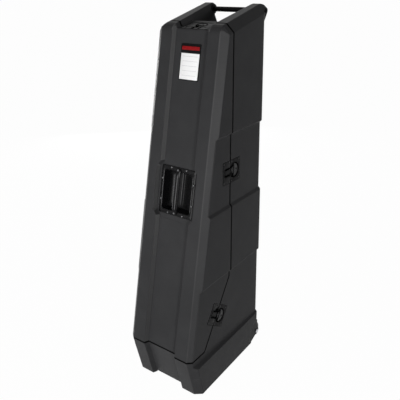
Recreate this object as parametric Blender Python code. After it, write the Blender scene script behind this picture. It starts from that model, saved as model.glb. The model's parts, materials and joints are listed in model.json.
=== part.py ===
"""Dual bass guitar case.

A tall moulded case stands on its base and holds two bass guitars side by side. The narrow front leans back
and is a full-length lid on two long hinges down the left side. Three sunk twist latches hold it shut. Two
shoulders at the top carry a tow bar, and the case tilts back and rolls on two wheels at the lower back corners.

Metres, +Z up. The front faces -Y, and the origin is the middle of the footprint on the floor.
"""

import math

import bmesh
import bpy
from mathutils import Matrix, Vector

# Driving dimensions of the shells
HEIGHT = 1.405
HALF_WIDTH = 0.1594          # side plane at the floor, before the base flares
SIDE_TAPER = 0.010           # each side leans in by this per metre of height
BASE_HALF_WIDTH = 0.1640     # flared base below the lowest ledge
BASE_BACK_DRAW = 0.007       # the base is narrower at the back by this on each side
BACK_Y = 0.2250
DEPTH_REACH = 0.2565         # front of the lid's foot, and back of the shoulders and the tyres
FRONT_LEAN = 0.2049          # the front leans back by this per metre of height
BASE_TOE_IN = 0.235          # the base front draws in below the seam by this per metre
FOOT_Z = 0.178               # level part of the seam, round the front
WALL = 0.005
GAP = 0.0003
SEAM_GAP = 0.0018

# Front: two ribs with a sunk panel between them, and wide chamfers at the corners
CHAMFER = (0.025, 0.022)
BASE_CHAMFER = (0.030, 0.024)
RIB_INNER_X = 0.0755
PANEL_HALF_X = 0.0670
PANEL_DEPTH = 0.018
BACK_RADIUS = 0.012

# Side bands: sunk between the two upper ledges and between the two lower ones
LEDGE_Z = (0.147, 0.455, 0.727, 0.995)
LEDGE_HALF = 0.004
BAND_DEPTH = 0.008

# Top: shoulders either side of a channel
SEAM_TOP_Y = 0.022
SEAM_SLOPE = 0.0187          # the side seam leans back by this per metre
SEAM_BEND_Z = 0.430
SEAM_FOOT_Y = -0.1645
RIDGE_TOP_Z = 1.3560
RIDGE_SLOPE = 0.2333
NOSE_RADIUS = 0.022
NOSE_Y = DEPTH_REACH - NOSE_RADIUS
NOSE_Z = HEIGHT - NOSE_RADIUS
CHANNEL_FRONT = (-0.0025, 1.3350)
CHANNEL_CREST = (0.0900, 1.3535)
CHANNEL_BACK_Z = 1.3375
CHANNEL_BACK_X = 0.0580
CHANNEL_SPREAD = 0.42
SHOULDER_CHAMFER_X = 0.029
SHOULDER_CHAMFER_Z = 0.027

# Wheels
WHEEL_RADIUS = 0.0375
WHEEL_WIDTH = 0.024
WHEEL_X = 0.1340
WHEEL_Y = DEPTH_REACH - WHEEL_RADIUS
WHEEL_Z = 0.0415
POCKET_RADIUS = 0.0580
POCKET_INNER_X = 0.1120
AXLE_RADIUS = 0.0040

# Tow bar
BAR_RADIUS = 0.0090
BAR_HALF_LENGTH = 0.0790

# Hinges: one straight axis beside the left seam
HINGE_STAND_OFF = 0.0010
KNUCKLE_RADIUS = 0.0038
HINGE_PIN_RADIUS = 0.0015
HINGE_SPANS = ((0.480, 0.700), (1.030, 1.290))
KNUCKLES = 5
LEAF_WIDTH = 0.026
LEAF_THICKNESS = 0.0014

# Facets round a circle
LARGE = 20
MEDIUM = 16
SMALL = 12
TINY = 6

# Inside
LINER_OUT = 0.0080
LINER = 0.018

SIDES = ((-1, "left"), (1, "right"))


def remove_everything():
    for item in list(bpy.data.objects):
        bpy.data.objects.remove(item, do_unlink=True)
    for mesh in list(bpy.data.meshes):
        bpy.data.meshes.remove(mesh)


def finish(name, colour, roughness, metallic=0.0):
    material = bpy.data.materials.new(name)
    material.use_nodes = True
    shader = material.node_tree.nodes["Principled BSDF"]
    shader.inputs["Base Color"].default_value = (*colour, 1.0)
    shader.inputs["Roughness"].default_value = roughness
    shader.inputs["Metallic"].default_value = metallic
    return material


remove_everything()
MOULDED = finish("moulded_polyethylene", (0.040, 0.040, 0.042), 0.55)
PLASTIC = finish("black_plastic", (0.020, 0.020, 0.021), 0.40)
BLACK_STEEL = finish("black_steel", (0.018, 0.018, 0.019), 0.30, 0.7)
BRIGHT_STEEL = finish("bright_steel", (0.55, 0.55, 0.56), 0.30, 1.0)
URETHANE = finish("urethane", (0.055, 0.055, 0.058), 0.45)
FOAM = finish("foam", (0.030, 0.030, 0.032), 0.90)
WEBBING = finish("webbing", (0.020, 0.020, 0.022), 0.80)
CARD = finish("card", (0.88, 0.88, 0.88), 0.60)
RED = finish("red_strip", (0.55, 0.03, 0.03), 0.45)


# Mesh helpers

def add_object(name, mesh, material=None, parent=None):
    item = bpy.data.objects.new(name, mesh)
    bpy.context.collection.objects.link(item)
    if material:
        mesh.materials.append(material)
    if parent:
        item.parent = parent
    return item


def from_bmesh(name, bm, material=None, parent=None, smooth=False):
    bm.normal_update()
    bmesh.ops.recalc_face_normals(bm, faces=bm.faces)
    mesh = bpy.data.meshes.new(name)
    bm.to_mesh(mesh)
    bm.free()
    if smooth:
        mesh.shade_smooth()
        mesh.set_sharp_from_angle(angle=math.radians(35))
    return add_object(name, mesh, material, parent)


def as_cutter(item):
    item.hide_render = True
    item.display_type = "WIRE"
    return item


def combine(target, other, operation="DIFFERENCE"):
    modifier = target.modifiers.new(operation.lower(), "BOOLEAN")
    modifier.operation = operation
    modifier.object = other
    modifier.solver = "EXACT"
    return modifier


def lofted(rings):
    bm = bmesh.new()
    loops = [[bm.verts.new(point) for point in ring] for ring in rings]
    count = len(loops[0])
    for low, high in zip(loops, loops[1:]):
        for i in range(count):
            j = (i + 1) % count
            bm.faces.new((low[i], low[j], high[j], high[i]))
    bm.faces.new(list(reversed(loops[0])))
    bm.faces.new(loops[-1])
    return bm


def extruded(outline, low, high, axis):
    """Closed prism of a 2-D outline. Axis X takes (y, z) points, axis Y (x, z) points and axis Z (x, y) points."""
    def place(point, level):
        if axis == "X":
            return Vector((level, point[0], point[1]))
        if axis == "Y":
            return Vector((point[0], level, point[1]))
        return Vector((point[0], point[1], level))
    return lofted([[place(p, low) for p in outline], [place(p, high) for p in outline]])


def block(low, high):
    outline = [(low[0], low[1]), (high[0], low[1]), (high[0], high[1]), (low[0], high[1])]
    return extruded(outline, low[2], high[2], "Z")


def arc(centre, radius, start, end, steps):
    points = []
    for i in range(steps + 1):
        angle = math.radians(start + (end - start) * i / steps)
        points.append((centre[0] + radius * math.cos(angle), centre[1] + radius * math.sin(angle)))
    return points


def rounded_rectangle(half_x, half_y, radius, steps=4, centre=(0.0, 0.0)):
    points = []
    corners = ((1, 1, 0), (-1, 1, 90), (-1, -1, 180), (1, -1, 270))
    for sx, sy, start in corners:
        middle = (centre[0] + sx * (half_x - radius), centre[1] + sy * (half_y - radius))
        points += arc(middle, radius, start, start + 90, steps)
    return points


def turned(profile, segments, axis="Z"):
    """Closed ring turned from a profile of (radius, height) points, all off the axis."""
    bm = bmesh.new()
    loops = []
    for i in range(segments):
        angle = 2 * math.pi * i / segments
        c, s = math.cos(angle), math.sin(angle)
        loop = []
        for radius, height in profile:
            if axis == "X":
                point = (height, radius * c, radius * s)
            elif axis == "Y":
                point = (radius * s, height, radius * c)
            else:
                point = (radius * c, radius * s, height)
            loop.append(bm.verts.new(point))
        loops.append(loop)
    count = len(profile)
    for i in range(segments):
        a, b = loops[i], loops[(i + 1) % segments]
        for j in range(count):
            k = (j + 1) % count
            bm.faces.new((a[j], b[j], b[k], a[k]))
    return bm


def round_bar(profile, segments, axis="Z"):
    """Solid of revolution whose two ends are flat caps. Profile points are (radius, height)."""
    rings = []
    for radius, height in profile:
        ring = []
        for i in range(segments):
            angle = 2 * math.pi * i / segments
            c, s = math.cos(angle) * radius, math.sin(angle) * radius
            if axis == "X":
                ring.append((height, c, s))
            elif axis == "Y":
                ring.append((s, height, c))
            else:
                ring.append((c, s, height))
        rings.append(ring)
    return lofted(rings)


def moved(bm, offset):
    bmesh.ops.translate(bm, verts=bm.verts, vec=Vector(offset))
    return bm


def merged(parts):
    """Several closed bodies that do not touch, in one mesh."""
    whole = bmesh.new()
    for part in parts:
        part.normal_update()
        bmesh.ops.recalc_face_normals(part, faces=part.faces)
        mesh = bpy.data.meshes.new("part")
        part.to_mesh(mesh)
        part.free()
        whole.from_mesh(mesh)
        bpy.data.meshes.remove(mesh)
    return whole


# Outer form

def half_width(z):
    return HALF_WIDTH - SIDE_TAPER * z


def front_y(z):
    if z >= FOOT_Z:
        return -DEPTH_REACH + FRONT_LEAN * (z - FOOT_Z)
    return -DEPTH_REACH + BASE_TOE_IN * (FOOT_Z - z)


def seam_y(z):
    return SEAM_TOP_Y - SEAM_SLOPE * (1.334 - z)


def section(z, side, wall):
    """Plan outline at one height, moved inwards by wall. Side is the half width of the side plane there."""
    full, cut, draw = half_width(z), CHAMFER, 0.0
    if z < LEDGE_Z[0]:
        full, cut, draw = BASE_HALF_WIDTH, BASE_CHAMFER, BASE_BACK_DRAW
    inner_side = side - wall
    front = front_y(z)
    length = math.hypot(*cut)
    normal = (cut[1] / length, -cut[0] / length)
    reach = normal[0] * (full - cut[0]) + normal[1] * front - wall
    back = BACK_Y - wall
    radius = max(BACK_RADIUS - wall, 0.004)
    diagonal = radius * (1 - math.sqrt(0.5))
    right = [
        (inner_side - draw - radius, back),
        (inner_side - draw - diagonal, back - diagonal),
        (inner_side - draw, back - radius),
        (inner_side, (reach - normal[0] * inner_side) / normal[1]),
        ((reach - normal[1] * (front + wall)) / normal[0], front + wall),
        (RIB_INNER_X + wall, front + wall),
        (PANEL_HALF_X + wall, front + PANEL_DEPTH + wall),
    ]
    left = [(-x, y) for x, y in reversed(right)]
    return [Vector((x, y, z)) for x, y in right + left]


def body_levels():
    low, second, third, fourth = LEDGE_Z
    sunk = BAND_DEPTH
    levels = [(0.0, BASE_HALF_WIDTH - 0.004), (0.005, BASE_HALF_WIDTH), (low - LEDGE_HALF, BASE_HALF_WIDTH)]
    for z, depth in (
        (low + LEDGE_HALF, sunk), (FOOT_Z, sunk), (second - LEDGE_HALF, sunk),
        (second + LEDGE_HALF, 0.0), (third - LEDGE_HALF, 0.0),
        (third + LEDGE_HALF, sunk), (fourth - LEDGE_HALF, sunk),
        (fourth + LEDGE_HALF, 0.0), (HEIGHT + 0.020, 0.0),
    ):
        levels.append((z, half_width(z) - depth))
    return levels


def body_form(name, wall):
    levels = body_levels()
    if wall:
        levels[0] = (wall, levels[1][1])
        levels[1] = (wall + 0.005, levels[1][1])
    return from_bmesh(name, lofted([section(z, side, wall) for z, side in levels]))


def ridge_z(y):
    return RIDGE_TOP_Z + RIDGE_SLOPE * (y - SEAM_TOP_Y)


def above_ridge(name, wall):
    """Everything above the shoulders' top line, which rounds over at the front and runs out at the nose."""
    front = [(-0.300, 1.322), (-0.0222, 1.322), (-0.0195, 1.331), (-0.0145, 1.3390), (-0.0065, 1.3465),
             (0.0050, 1.3520)]
    outline = [(y + wall, z - wall) for y, z in front]
    outline += [(SEAM_TOP_Y, RIDGE_TOP_Z - wall), (0.400, ridge_z(0.400) - wall)]
    outline += [(0.400, 1.600), (-0.300, 1.600)]
    return as_cutter(from_bmesh(name, extruded(outline, -0.300, 0.300, "X")))


def channel_z(y):
    if y < CHANNEL_CREST[0]:
        slope = (CHANNEL_CREST[1] - CHANNEL_FRONT[1]) / (CHANNEL_CREST[0] - CHANNEL_FRONT[0])
        return CHANNEL_FRONT[1] + slope * (y - CHANNEL_FRONT[0])
    slope = (CHANNEL_BACK_Z - CHANNEL_CREST[1]) / (BACK_Y - CHANNEL_CREST[0])
    return CHANNEL_CREST[1] + slope * (y - CHANNEL_CREST[0])


def channel_wall_x(y, z):
    """The shoulders' inner walls: one plane each, from the ribs' inner edge at the front to the tow bar."""
    front_y_here, back_z = -0.001, channel_z(BACK_Y)
    draw = (PANEL_HALF_X - CHANNEL_BACK_X - CHANNEL_SPREAD * (channel_z(front_y_here) - back_z)) / (
        BACK_Y - front_y_here)
    return PANEL_HALF_X + CHANNEL_SPREAD * (z - channel_z(front_y_here)) - draw * (y - front_y_here)


def channel(name, wall):
    """The channel over the top: it carries on from the sunk front panel and narrows towards the tow bar."""
    top = 1.460
    square = wall * math.hypot(1.0, CHANNEL_SPREAD)
    placed_rings = []
    for y in (-0.300, -0.001, 0.022, CHANNEL_CREST[0], BACK_Y, 0.400):
        floor = channel_z(y) - wall
        if y < 0.0:
            low_x = PANEL_HALF_X - CHANNEL_SPREAD * wall
            high_x = PANEL_HALF_X + CHANNEL_SPREAD * (top - channel_z(y))
        else:
            low_x, high_x = channel_wall_x(y, floor), channel_wall_x(y, top)
        low_x, high_x = low_x + square, high_x + square
        placed_rings.append([Vector((x, y, z)) for x, z in
                             ((-low_x, floor), (low_x, floor), (high_x, top), (-high_x, top))])
    return as_cutter(from_bmesh(name, lofted(placed_rings)))


def shoulder_chamfer(name, side, wall):
    """Cutter along the top outer corner of one shoulder."""
    rings = []
    for y in (-0.300, SEAM_TOP_Y, BACK_Y, 0.400):
        ridge = ridge_z(y)
        outer = half_width(ridge)
        slope = SHOULDER_CHAMFER_Z / SHOULDER_CHAMFER_X
        drop = wall * math.hypot(1.0, slope)
        inner_x = outer - SHOULDER_CHAMFER_X - 0.100
        outer_x = outer + 0.100
        inner_z = ridge + slope * 0.100 - drop
        outer_z = ridge - SHOULDER_CHAMFER_Z - slope * 0.100 - drop
        rings.append([Vector((side * x, y, z)) for x, z in
                      ((inner_x, inner_z), (outer_x, outer_z), (outer_x, 1.700), (inner_x, 1.700))])
    return as_cutter(from_bmesh(name, lofted(rings)))


def nose(name, side):
    """Rounded back end of a shoulder, round the tow bar."""
    rings = []
    for x, radius in ((0.0815, 0.0185), (0.0870, NOSE_RADIUS), (0.1240, NOSE_RADIUS), (0.1385, 0.0150)):
        outline = [(0.150, ridge_z(0.150) - 0.006 - (NOSE_RADIUS - radius))]
        outline += arc((NOSE_Y, NOSE_Z), radius, 103, -40, 8)
        outline += [(BACK_Y - 0.001, 1.3420), (BACK_Y - 0.004, 1.3280), (0.150, 1.3280)]
        rings.append([Vector((side * x, y, z)) for y, z in outline])
    return as_cutter(from_bmesh(name, lofted(rings)))


def belly(name, wall):
    """The shallow way under the base between the two skids."""
    height = 0.006 + wall
    outline = [(-PANEL_HALF_X - 0.006 - wall, -0.020), (PANEL_HALF_X + 0.006 + wall, -0.020),
               (PANEL_HALF_X + wall, height), (-PANEL_HALF_X - wall, height)]
    return as_cutter(from_bmesh(name, extruded(outline, -0.400, 0.400, "Y")))


def wheel_pocket(name, side, wall):
    radius = POCKET_RADIUS + wall
    inner = POCKET_INNER_X - wall
    bar = round_bar([(radius, inner), (radius, 0.200)], 28, "X")
    if side < 0:
        for vert in bar.verts:
            vert.co.x = -vert.co.x
    return as_cutter(from_bmesh(name, moved(bar, (0.0, WHEEL_Y, WHEEL_Z))))


def case_form(name, wall):
    """The whole case as one solid, moved inwards by wall. The outermost one carries the two noses."""
    item = as_cutter(body_form(name, wall))
    combine(item, above_ridge(name + "_ridge_cut", wall))
    extra = 0.0022 if wall >= LINER_OUT else 0.0
    combine(item, channel(name + "_channel_cut", wall + extra))
    if not wall:
        for side, word in SIDES:
            combine(item, nose("nose_" + word, side), "UNION")
    for side, word in SIDES:
        combine(item, shoulder_chamfer(f"{name}_shoulder_cut_{word}", side, wall))
    combine(item, belly(name + "_belly_cut", wall))
    for side, word in SIDES:
        combine(item, wheel_pocket(f"{name}_wheel_cut_{word}", side, wall))
    return item


def seam_outline(shift):
    """Side view of the seam, front part, moved forwards and up by shift."""
    return [
        (-0.400, FOOT_Z + shift),
        (SEAM_FOOT_Y - 0.532 * shift, FOOT_Z + shift),
        (seam_y(SEAM_BEND_Z) - shift, SEAM_BEND_Z + 0.305 * shift),
        (seam_y(1.600) - shift, 1.600),
        (-0.400, 1.600),
    ]


def front_block(name, shift):
    return as_cutter(from_bmesh(name, extruded(seam_outline(shift), -0.300, 0.300, "X")))


def back_block(name, shift):
    """Everything behind and below the seam."""
    seam = seam_outline(shift)[:4]
    outline = seam + [(0.400, 1.600), (0.400, -0.100), (-0.400, -0.100)]
    return as_cutter(from_bmesh(name, extruded(outline, -0.300, 0.300, "X")))


def hinge_point(z):
    return Vector((-(half_width(z) + HINGE_STAND_OFF), seam_y(z), z))


HINGE_DIRECTION = (hinge_point(1.2) - hinge_point(0.5)).normalized()


def frame_at(origin, along, outward):
    """Local frame with X along, Z outward and Y square to both."""
    along = Vector(along).normalized()
    outward = Vector(outward).normalized()
    across = outward.cross(along)
    matrix = Matrix((along, across, outward)).transposed().to_4x4()
    matrix.translation = Vector(origin)
    return matrix


def placed(bm, frame):
    bm.transform(frame)
    return bm


def rivet(head, head_low, head_high, shank, tail_high, tail_low, tail):
    """Set rivet along local Z: head outside, shank through the wall, spread tail inside."""
    return round_bar([(tail, tail_low), (tail, tail_high), (shank, tail_high), (shank, head_low), (head, head_low),
                      (head * 0.7, head_high)], TINY)


# Case forms

def handle_bay(name, wall):
    """The front panel widens into a bay round the carry handle."""
    rings = []
    for half_x, half_up, depth in ((0.086, 0.108, -PANEL_NORMAL_DEPTH - wall - 0.0003), (0.096, 0.118, 0.030)):
        x, up = half_x + wall, half_up + wall
        cut_x, cut_up = 0.024, 0.030
        corner = [(x, up - cut_up), (x - cut_x, up)]
        outline = corner + [(-a, b) for a, b in reversed(corner)]
        outline += [(-a, -b) for a, b in corner] + [(a, -b) for a, b in reversed(corner)]
        rings.append([Vector((a, b, depth)) for a, b in outline])
    return as_cutter(from_bmesh(name, placed(lofted(rings), HANDLE_FRAME)))


HANDLE_Z = 0.7910
LEAN = math.atan(FRONT_LEAN)
PANEL_NORMAL_DEPTH = PANEL_DEPTH * math.cos(LEAN)
HANDLE_FRAME = frame_at((0, front_y(HANDLE_Z), HANDLE_Z), (1, 0, 0), (0, -1, FRONT_LEAN))

outer_form = case_form("outer_form", 0.0)
combine(outer_form, handle_bay("handle_bay_outer", 0.0))
cavity_form = case_form("cavity_form", WALL)
combine(cavity_form, handle_bay("handle_bay_cavity", WALL))
liner_outside = case_form("liner_outside", LINER_OUT)
combine(liner_outside, handle_bay("handle_bay_liner_outside", LINER_OUT))
liner_inside = case_form("liner_inside", LINER_OUT + LINER)
combine(liner_inside, handle_bay("handle_bay_liner_inside", LINER_OUT + LINER))

# The back top corners stay solid, behind the noses
for side, word in SIDES:
    low_x, high_x = sorted((side * 0.060, side * 0.200))
    for form, reach in ((cavity_form, 0.0), (liner_outside, 0.003), (liner_inside, 0.021)):
        root = block((low_x - (reach if side > 0 else 0), 0.197 - reach, 1.330 - reach),
                     (high_x + (reach if side < 0 else 0), 0.400, 1.600))
        combine(form, as_cutter(from_bmesh(f"nose_root_{word}_{form.name}", root)))

# Shells

back_shell = back_block("back_shell", -SEAM_GAP / 2)
lid_shell = front_block("lid_shell", SEAM_GAP / 2)
for shell in (back_shell, lid_shell):
    shell.hide_render = False
    shell.display_type = "TEXTURED"
    shell.data.materials.append(MOULDED)
    combine(shell, outer_form, "INTERSECT")
    combine(shell, cavity_form)

# Tow bar

bar_place = (0.0, NOSE_Y, NOSE_Z)
spot_face = round_bar([(0.0192, -0.0812), (0.0192, 0.0812)], LARGE, "X")
combine(back_shell, as_cutter(from_bmesh("tow_bar_spot_face", moved(spot_face, bar_place))))
bolt_hole = round_bar([(0.0046, -0.160), (0.0046, 0.160)], SMALL, "X")
combine(back_shell, as_cutter(from_bmesh("tow_bar_bolt_hole", moved(bolt_hole, bar_place))))

tube = turned([(0.0044, -BAR_HALF_LENGTH), (BAR_RADIUS, -BAR_HALF_LENGTH),
               (BAR_RADIUS, BAR_HALF_LENGTH), (0.0044, BAR_HALF_LENGTH)], 20, "X")
from_bmesh("tow_bar", moved(tube, bar_place), BLACK_STEEL, smooth=True)
for side, word in SIDES:
    ring = [(0.0096, 0.0762), (0.0150, 0.0762), (0.0175, 0.0782), (0.0175, 0.0808), (0.0096, 0.0808)]
    collar = moved(turned([(r, side * x) for r, x in ring], 20, "X"), bar_place)
    from_bmesh("tow_bar_collar_" + word, collar, BLACK_STEEL, smooth=True)
    bolt = [(0.0040, 0.0500), (0.0040, 0.1390), (0.0080, 0.1390), (0.0080, 0.1412), (0.0055, 0.1428)]
    bolt = moved(round_bar([(r, side * x) for r, x in bolt], SMALL, "X"), bar_place)
    from_bmesh("tow_bar_bolt_" + word, bolt, BLACK_STEEL, smooth=True)

# Wheels

HOUSING_RADIUS = 0.0572
HOUSING_WALL = 0.0030
HOUSING_X = (0.1165, 0.1560)
EAR_RADIUS = 0.0180
ARCH_RIVET_ANGLES = (112.0, 156.0, 200.0)
wheel_outline = arc((WHEEL_Y, WHEEL_Z), HOUSING_RADIUS, 85, 216.5, 14)
wheel_outline += arc((WHEEL_Y, WHEEL_Z), EAR_RADIUS, 242, 440, 10)
for side, word in SIDES:
    low_x, high_x = sorted((side * HOUSING_X[0], side * HOUSING_X[1]))
    housing = from_bmesh("wheel_housing_" + word, extruded(wheel_outline, low_x, high_x, "X"), PLASTIC)
    inner_low, inner_high = sorted((side * (HOUSING_X[0] + HOUSING_WALL), side * (HOUSING_X[1] - HOUSING_WALL)))
    hollow = round_bar([(HOUSING_RADIUS - HOUSING_WALL, inner_low),
                        (HOUSING_RADIUS - HOUSING_WALL, inner_high)], 28, "X")
    wheel_place = (0.0, WHEEL_Y, WHEEL_Z)
    combine(housing, as_cutter(from_bmesh("wheel_hollow_" + word, moved(hollow, wheel_place))))
    bosses = [moved(round_bar([(0.0066, side * low), (0.0066, side * high)], SMALL, "X"), wheel_place)
              for low, high in ((0.1190, 0.1217), (0.1463, 0.1530))]
    combine(housing, as_cutter(from_bmesh("axle_bosses_" + word, merged(bosses))), "UNION")
    bore = round_bar([(AXLE_RADIUS + 0.0005, side * 0.100), (AXLE_RADIUS + 0.0005, side * 0.170)], SMALL, "X")
    combine(housing, as_cutter(from_bmesh("axle_hole_" + word, moved(bore, wheel_place))))

    holes = []
    rivets = []
    for angle in ARCH_RIVET_ANGLES:
        turn = math.radians(angle)
        radial = (0.0, math.cos(turn), math.sin(turn))
        spot = frame_at((side * 0.1360, WHEEL_Y, WHEEL_Z), (1, 0, 0), radial)
        holes.append(placed(round_bar([(0.0025, 0.050), (0.0025, 0.070)], TINY), spot))
        body = round_bar([(0.0028, 0.0525), (0.0040, 0.0548), (0.0019, 0.0548), (0.0019, 0.0634),
                          (0.0038, 0.0634), (0.0038, 0.0646)], TINY)
        rivets.append(placed(body, spot))
    combine(back_shell, as_cutter(from_bmesh("housing_rivet_holes_" + word, merged(holes))))
    combine(housing, as_cutter(from_bmesh("housing_rivets_" + word, merged(rivets))), "UNION")

    half = WHEEL_WIDTH / 2
    tread = [(0.0272, -0.0110), (0.0340, -half), (WHEEL_RADIUS, -0.0085), (WHEEL_RADIUS, 0.0085),
             (0.0340, half), (0.0272, 0.0110)]
    centre = (side * WHEEL_X, WHEEL_Y, WHEEL_Z)
    from_bmesh("tyre_" + word, moved(turned(tread, 30, "X"), centre), URETHANE, smooth=True)
    hub = [(0.0118, -half), (0.0150, -half), (0.0158, -0.0045), (0.0232, -0.0045), (0.0238, -0.0108),
           (0.0268, -0.0108), (0.0268, 0.0108), (0.0238, 0.0108), (0.0232, 0.0045), (0.0158, 0.0045),
           (0.0150, half), (0.0118, half), (0.0118, 0.0042), (0.0085, 0.0042), (0.0085, -0.0042), (0.0118, -0.0042)]
    from_bmesh("wheel_hub_" + word, moved(turned(hub, 20, "X"), centre), PLASTIC, smooth=True)
    for end, place_word in ((-1, "inner"), (1, "outer")):
        ring = [(0.0045, 0.0046), (0.0114, 0.0046), (0.0114, 0.0116), (0.0045, 0.0116)]
        bearing = moved(turned([(r, side * end * x) for r, x in ring], MEDIUM, "X"), centre)
        from_bmesh(f"bearing_{word}_{place_word}", bearing, BRIGHT_STEEL, smooth=True)
    axle = [(AXLE_RADIUS, 0.1130), (AXLE_RADIUS, 0.1563), (0.0085, 0.1563), (0.0085, 0.1588), (0.0060, 0.1602)]
    from_bmesh("axle_" + word, moved(round_bar([(r, side * x) for r, x in axle], SMALL, "X"), wheel_place),
               BRIGHT_STEEL, smooth=True)
    nut = [(0.0051, 0.1126), (0.0080, 0.1126), (0.0080, 0.1161), (0.0051, 0.1161)]
    nut = moved(turned([(r, side * x) for r, x in nut], 6, "X"), wheel_place)
    from_bmesh("axle_nut_" + word, nut, BRIGHT_STEEL)

# Hinges

for word, (low, high) in (("lower", HINGE_SPANS[0]), ("upper", HINGE_SPANS[1])):
    middle = (low + high) / 2
    length = high - low
    outward = Vector((-1, 0, SIDE_TAPER)).normalized()
    back_along = outward.cross(HINGE_DIRECTION)
    place = Matrix((back_along, outward, HINGE_DIRECTION)).transposed().to_4x4()
    place.translation = hinge_point(middle)

    groove = placed(round_bar([(0.0044, -length / 2 - 0.002), (0.0044, length / 2 + 0.002)], SMALL), place)
    groove = as_cutter(from_bmesh("hinge_groove_" + word, groove))
    combine(back_shell, groove)
    combine(lid_shell, groove)

    pitch = length / KNUCKLES
    pin_bore = as_cutter(from_bmesh("hinge_bore_" + word, placed(
        round_bar([(HINGE_PIN_RADIUS + 0.0004, -length), (HINGE_PIN_RADIUS + 0.0004, length)], TINY), place)))
    for owner, direction, mine in (("shell", 1, (0, 2, 4)), ("lid", -1, (1, 3))):
        low_x, high_x = sorted((direction * 0.0002, direction * LEAF_WIDTH))
        plate = block((low_x, -LEAF_THICKNESS / 2, -length / 2), (high_x, LEAF_THICKNESS / 2, length / 2))
        name = f"hinge_{word}_{'body' if owner == 'shell' else 'lid'}_leaf"
        leaf = from_bmesh(name, placed(plate, place), BLACK_STEEL)
        own, other = [], []
        for i in range(KNUCKLES):
            start = -length / 2 + i * pitch
            if i in mine:
                own.append(round_bar([(KNUCKLE_RADIUS, start + 0.0002),
                                      (KNUCKLE_RADIUS, start + pitch - 0.0002)], SMALL))
            else:
                other.append(round_bar([(KNUCKLE_RADIUS + 0.0005, start - 0.0001),
                                        (KNUCKLE_RADIUS + 0.0005, start + pitch + 0.0001)], SMALL))
        combine(leaf, as_cutter(from_bmesh(name + "_knuckles", placed(merged(own), place))), "UNION")
        combine(leaf, as_cutter(from_bmesh(name + "_clearance", placed(merged(other), place))))
        combine(leaf, pin_bore)
        holes = []
        rivets = []
        for share in (-0.40, 0.0, 0.40):
            across = Matrix.Translation((direction * 0.0175, 0.0, share * length)) @ Matrix.Rotation(
                -math.pi / 2, 4, "X")
            body = rivet(0.0030, 0.0003, 0.0018, 0.0015, -0.0063, -0.0073, 0.0026)
            rivets.append(placed(body, place @ across))
            hole = round_bar([(0.0020, -0.0120), (0.0020, 0.0060)], TINY)
            holes.append(placed(hole, place @ across))
        combine(leaf, as_cutter(from_bmesh(name + "_rivets", merged(rivets))), "UNION")
        combine(back_shell if owner == "shell" else lid_shell,
                as_cutter(from_bmesh(name + "_holes", merged(holes))))
    pin = round_bar([(HINGE_PIN_RADIUS, -length / 2 - 0.0010), (HINGE_PIN_RADIUS, length / 2 + 0.0004),
                     (0.0032, length / 2 + 0.0004), (0.0032, length / 2 + 0.0014)], TINY)
    from_bmesh(f"hinge_{word}_pin", placed(pin, place), BRIGHT_STEEL, smooth=True)

# Twist latches. Local X runs along the seam, Y towards the lid and Z outwards from the shell's surface.

FLANGE = (-0.0019, -0.0003)
POCKET_FLOOR = -0.0022
WELL_FLOOR = -0.0125
SHEET = 0.0013
HUB_DISC = (-0.0048, -0.0034)
FLAP = (-0.0024, -0.0010)
FLAP_AXIS = -0.0017
liner_openings = []


def keeper_outline(spec, margin):
    """Plan of the keeper's well. The lower latch's well flares so that the hook clears it as the lid swings."""
    half = 0.0160 + margin
    end = spec["well_end"] + margin
    mouth = half + spec["flare"] + (0.3 * margin if spec["flare"] else 0.0)
    turn = spec["well_end"] * 0.6 if spec["flare"] else end * 0.5
    return [(-half, -0.0100), (mouth, -0.0100), (mouth, 0.0), (half, turn), (half, end), (-half, end)]


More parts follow.
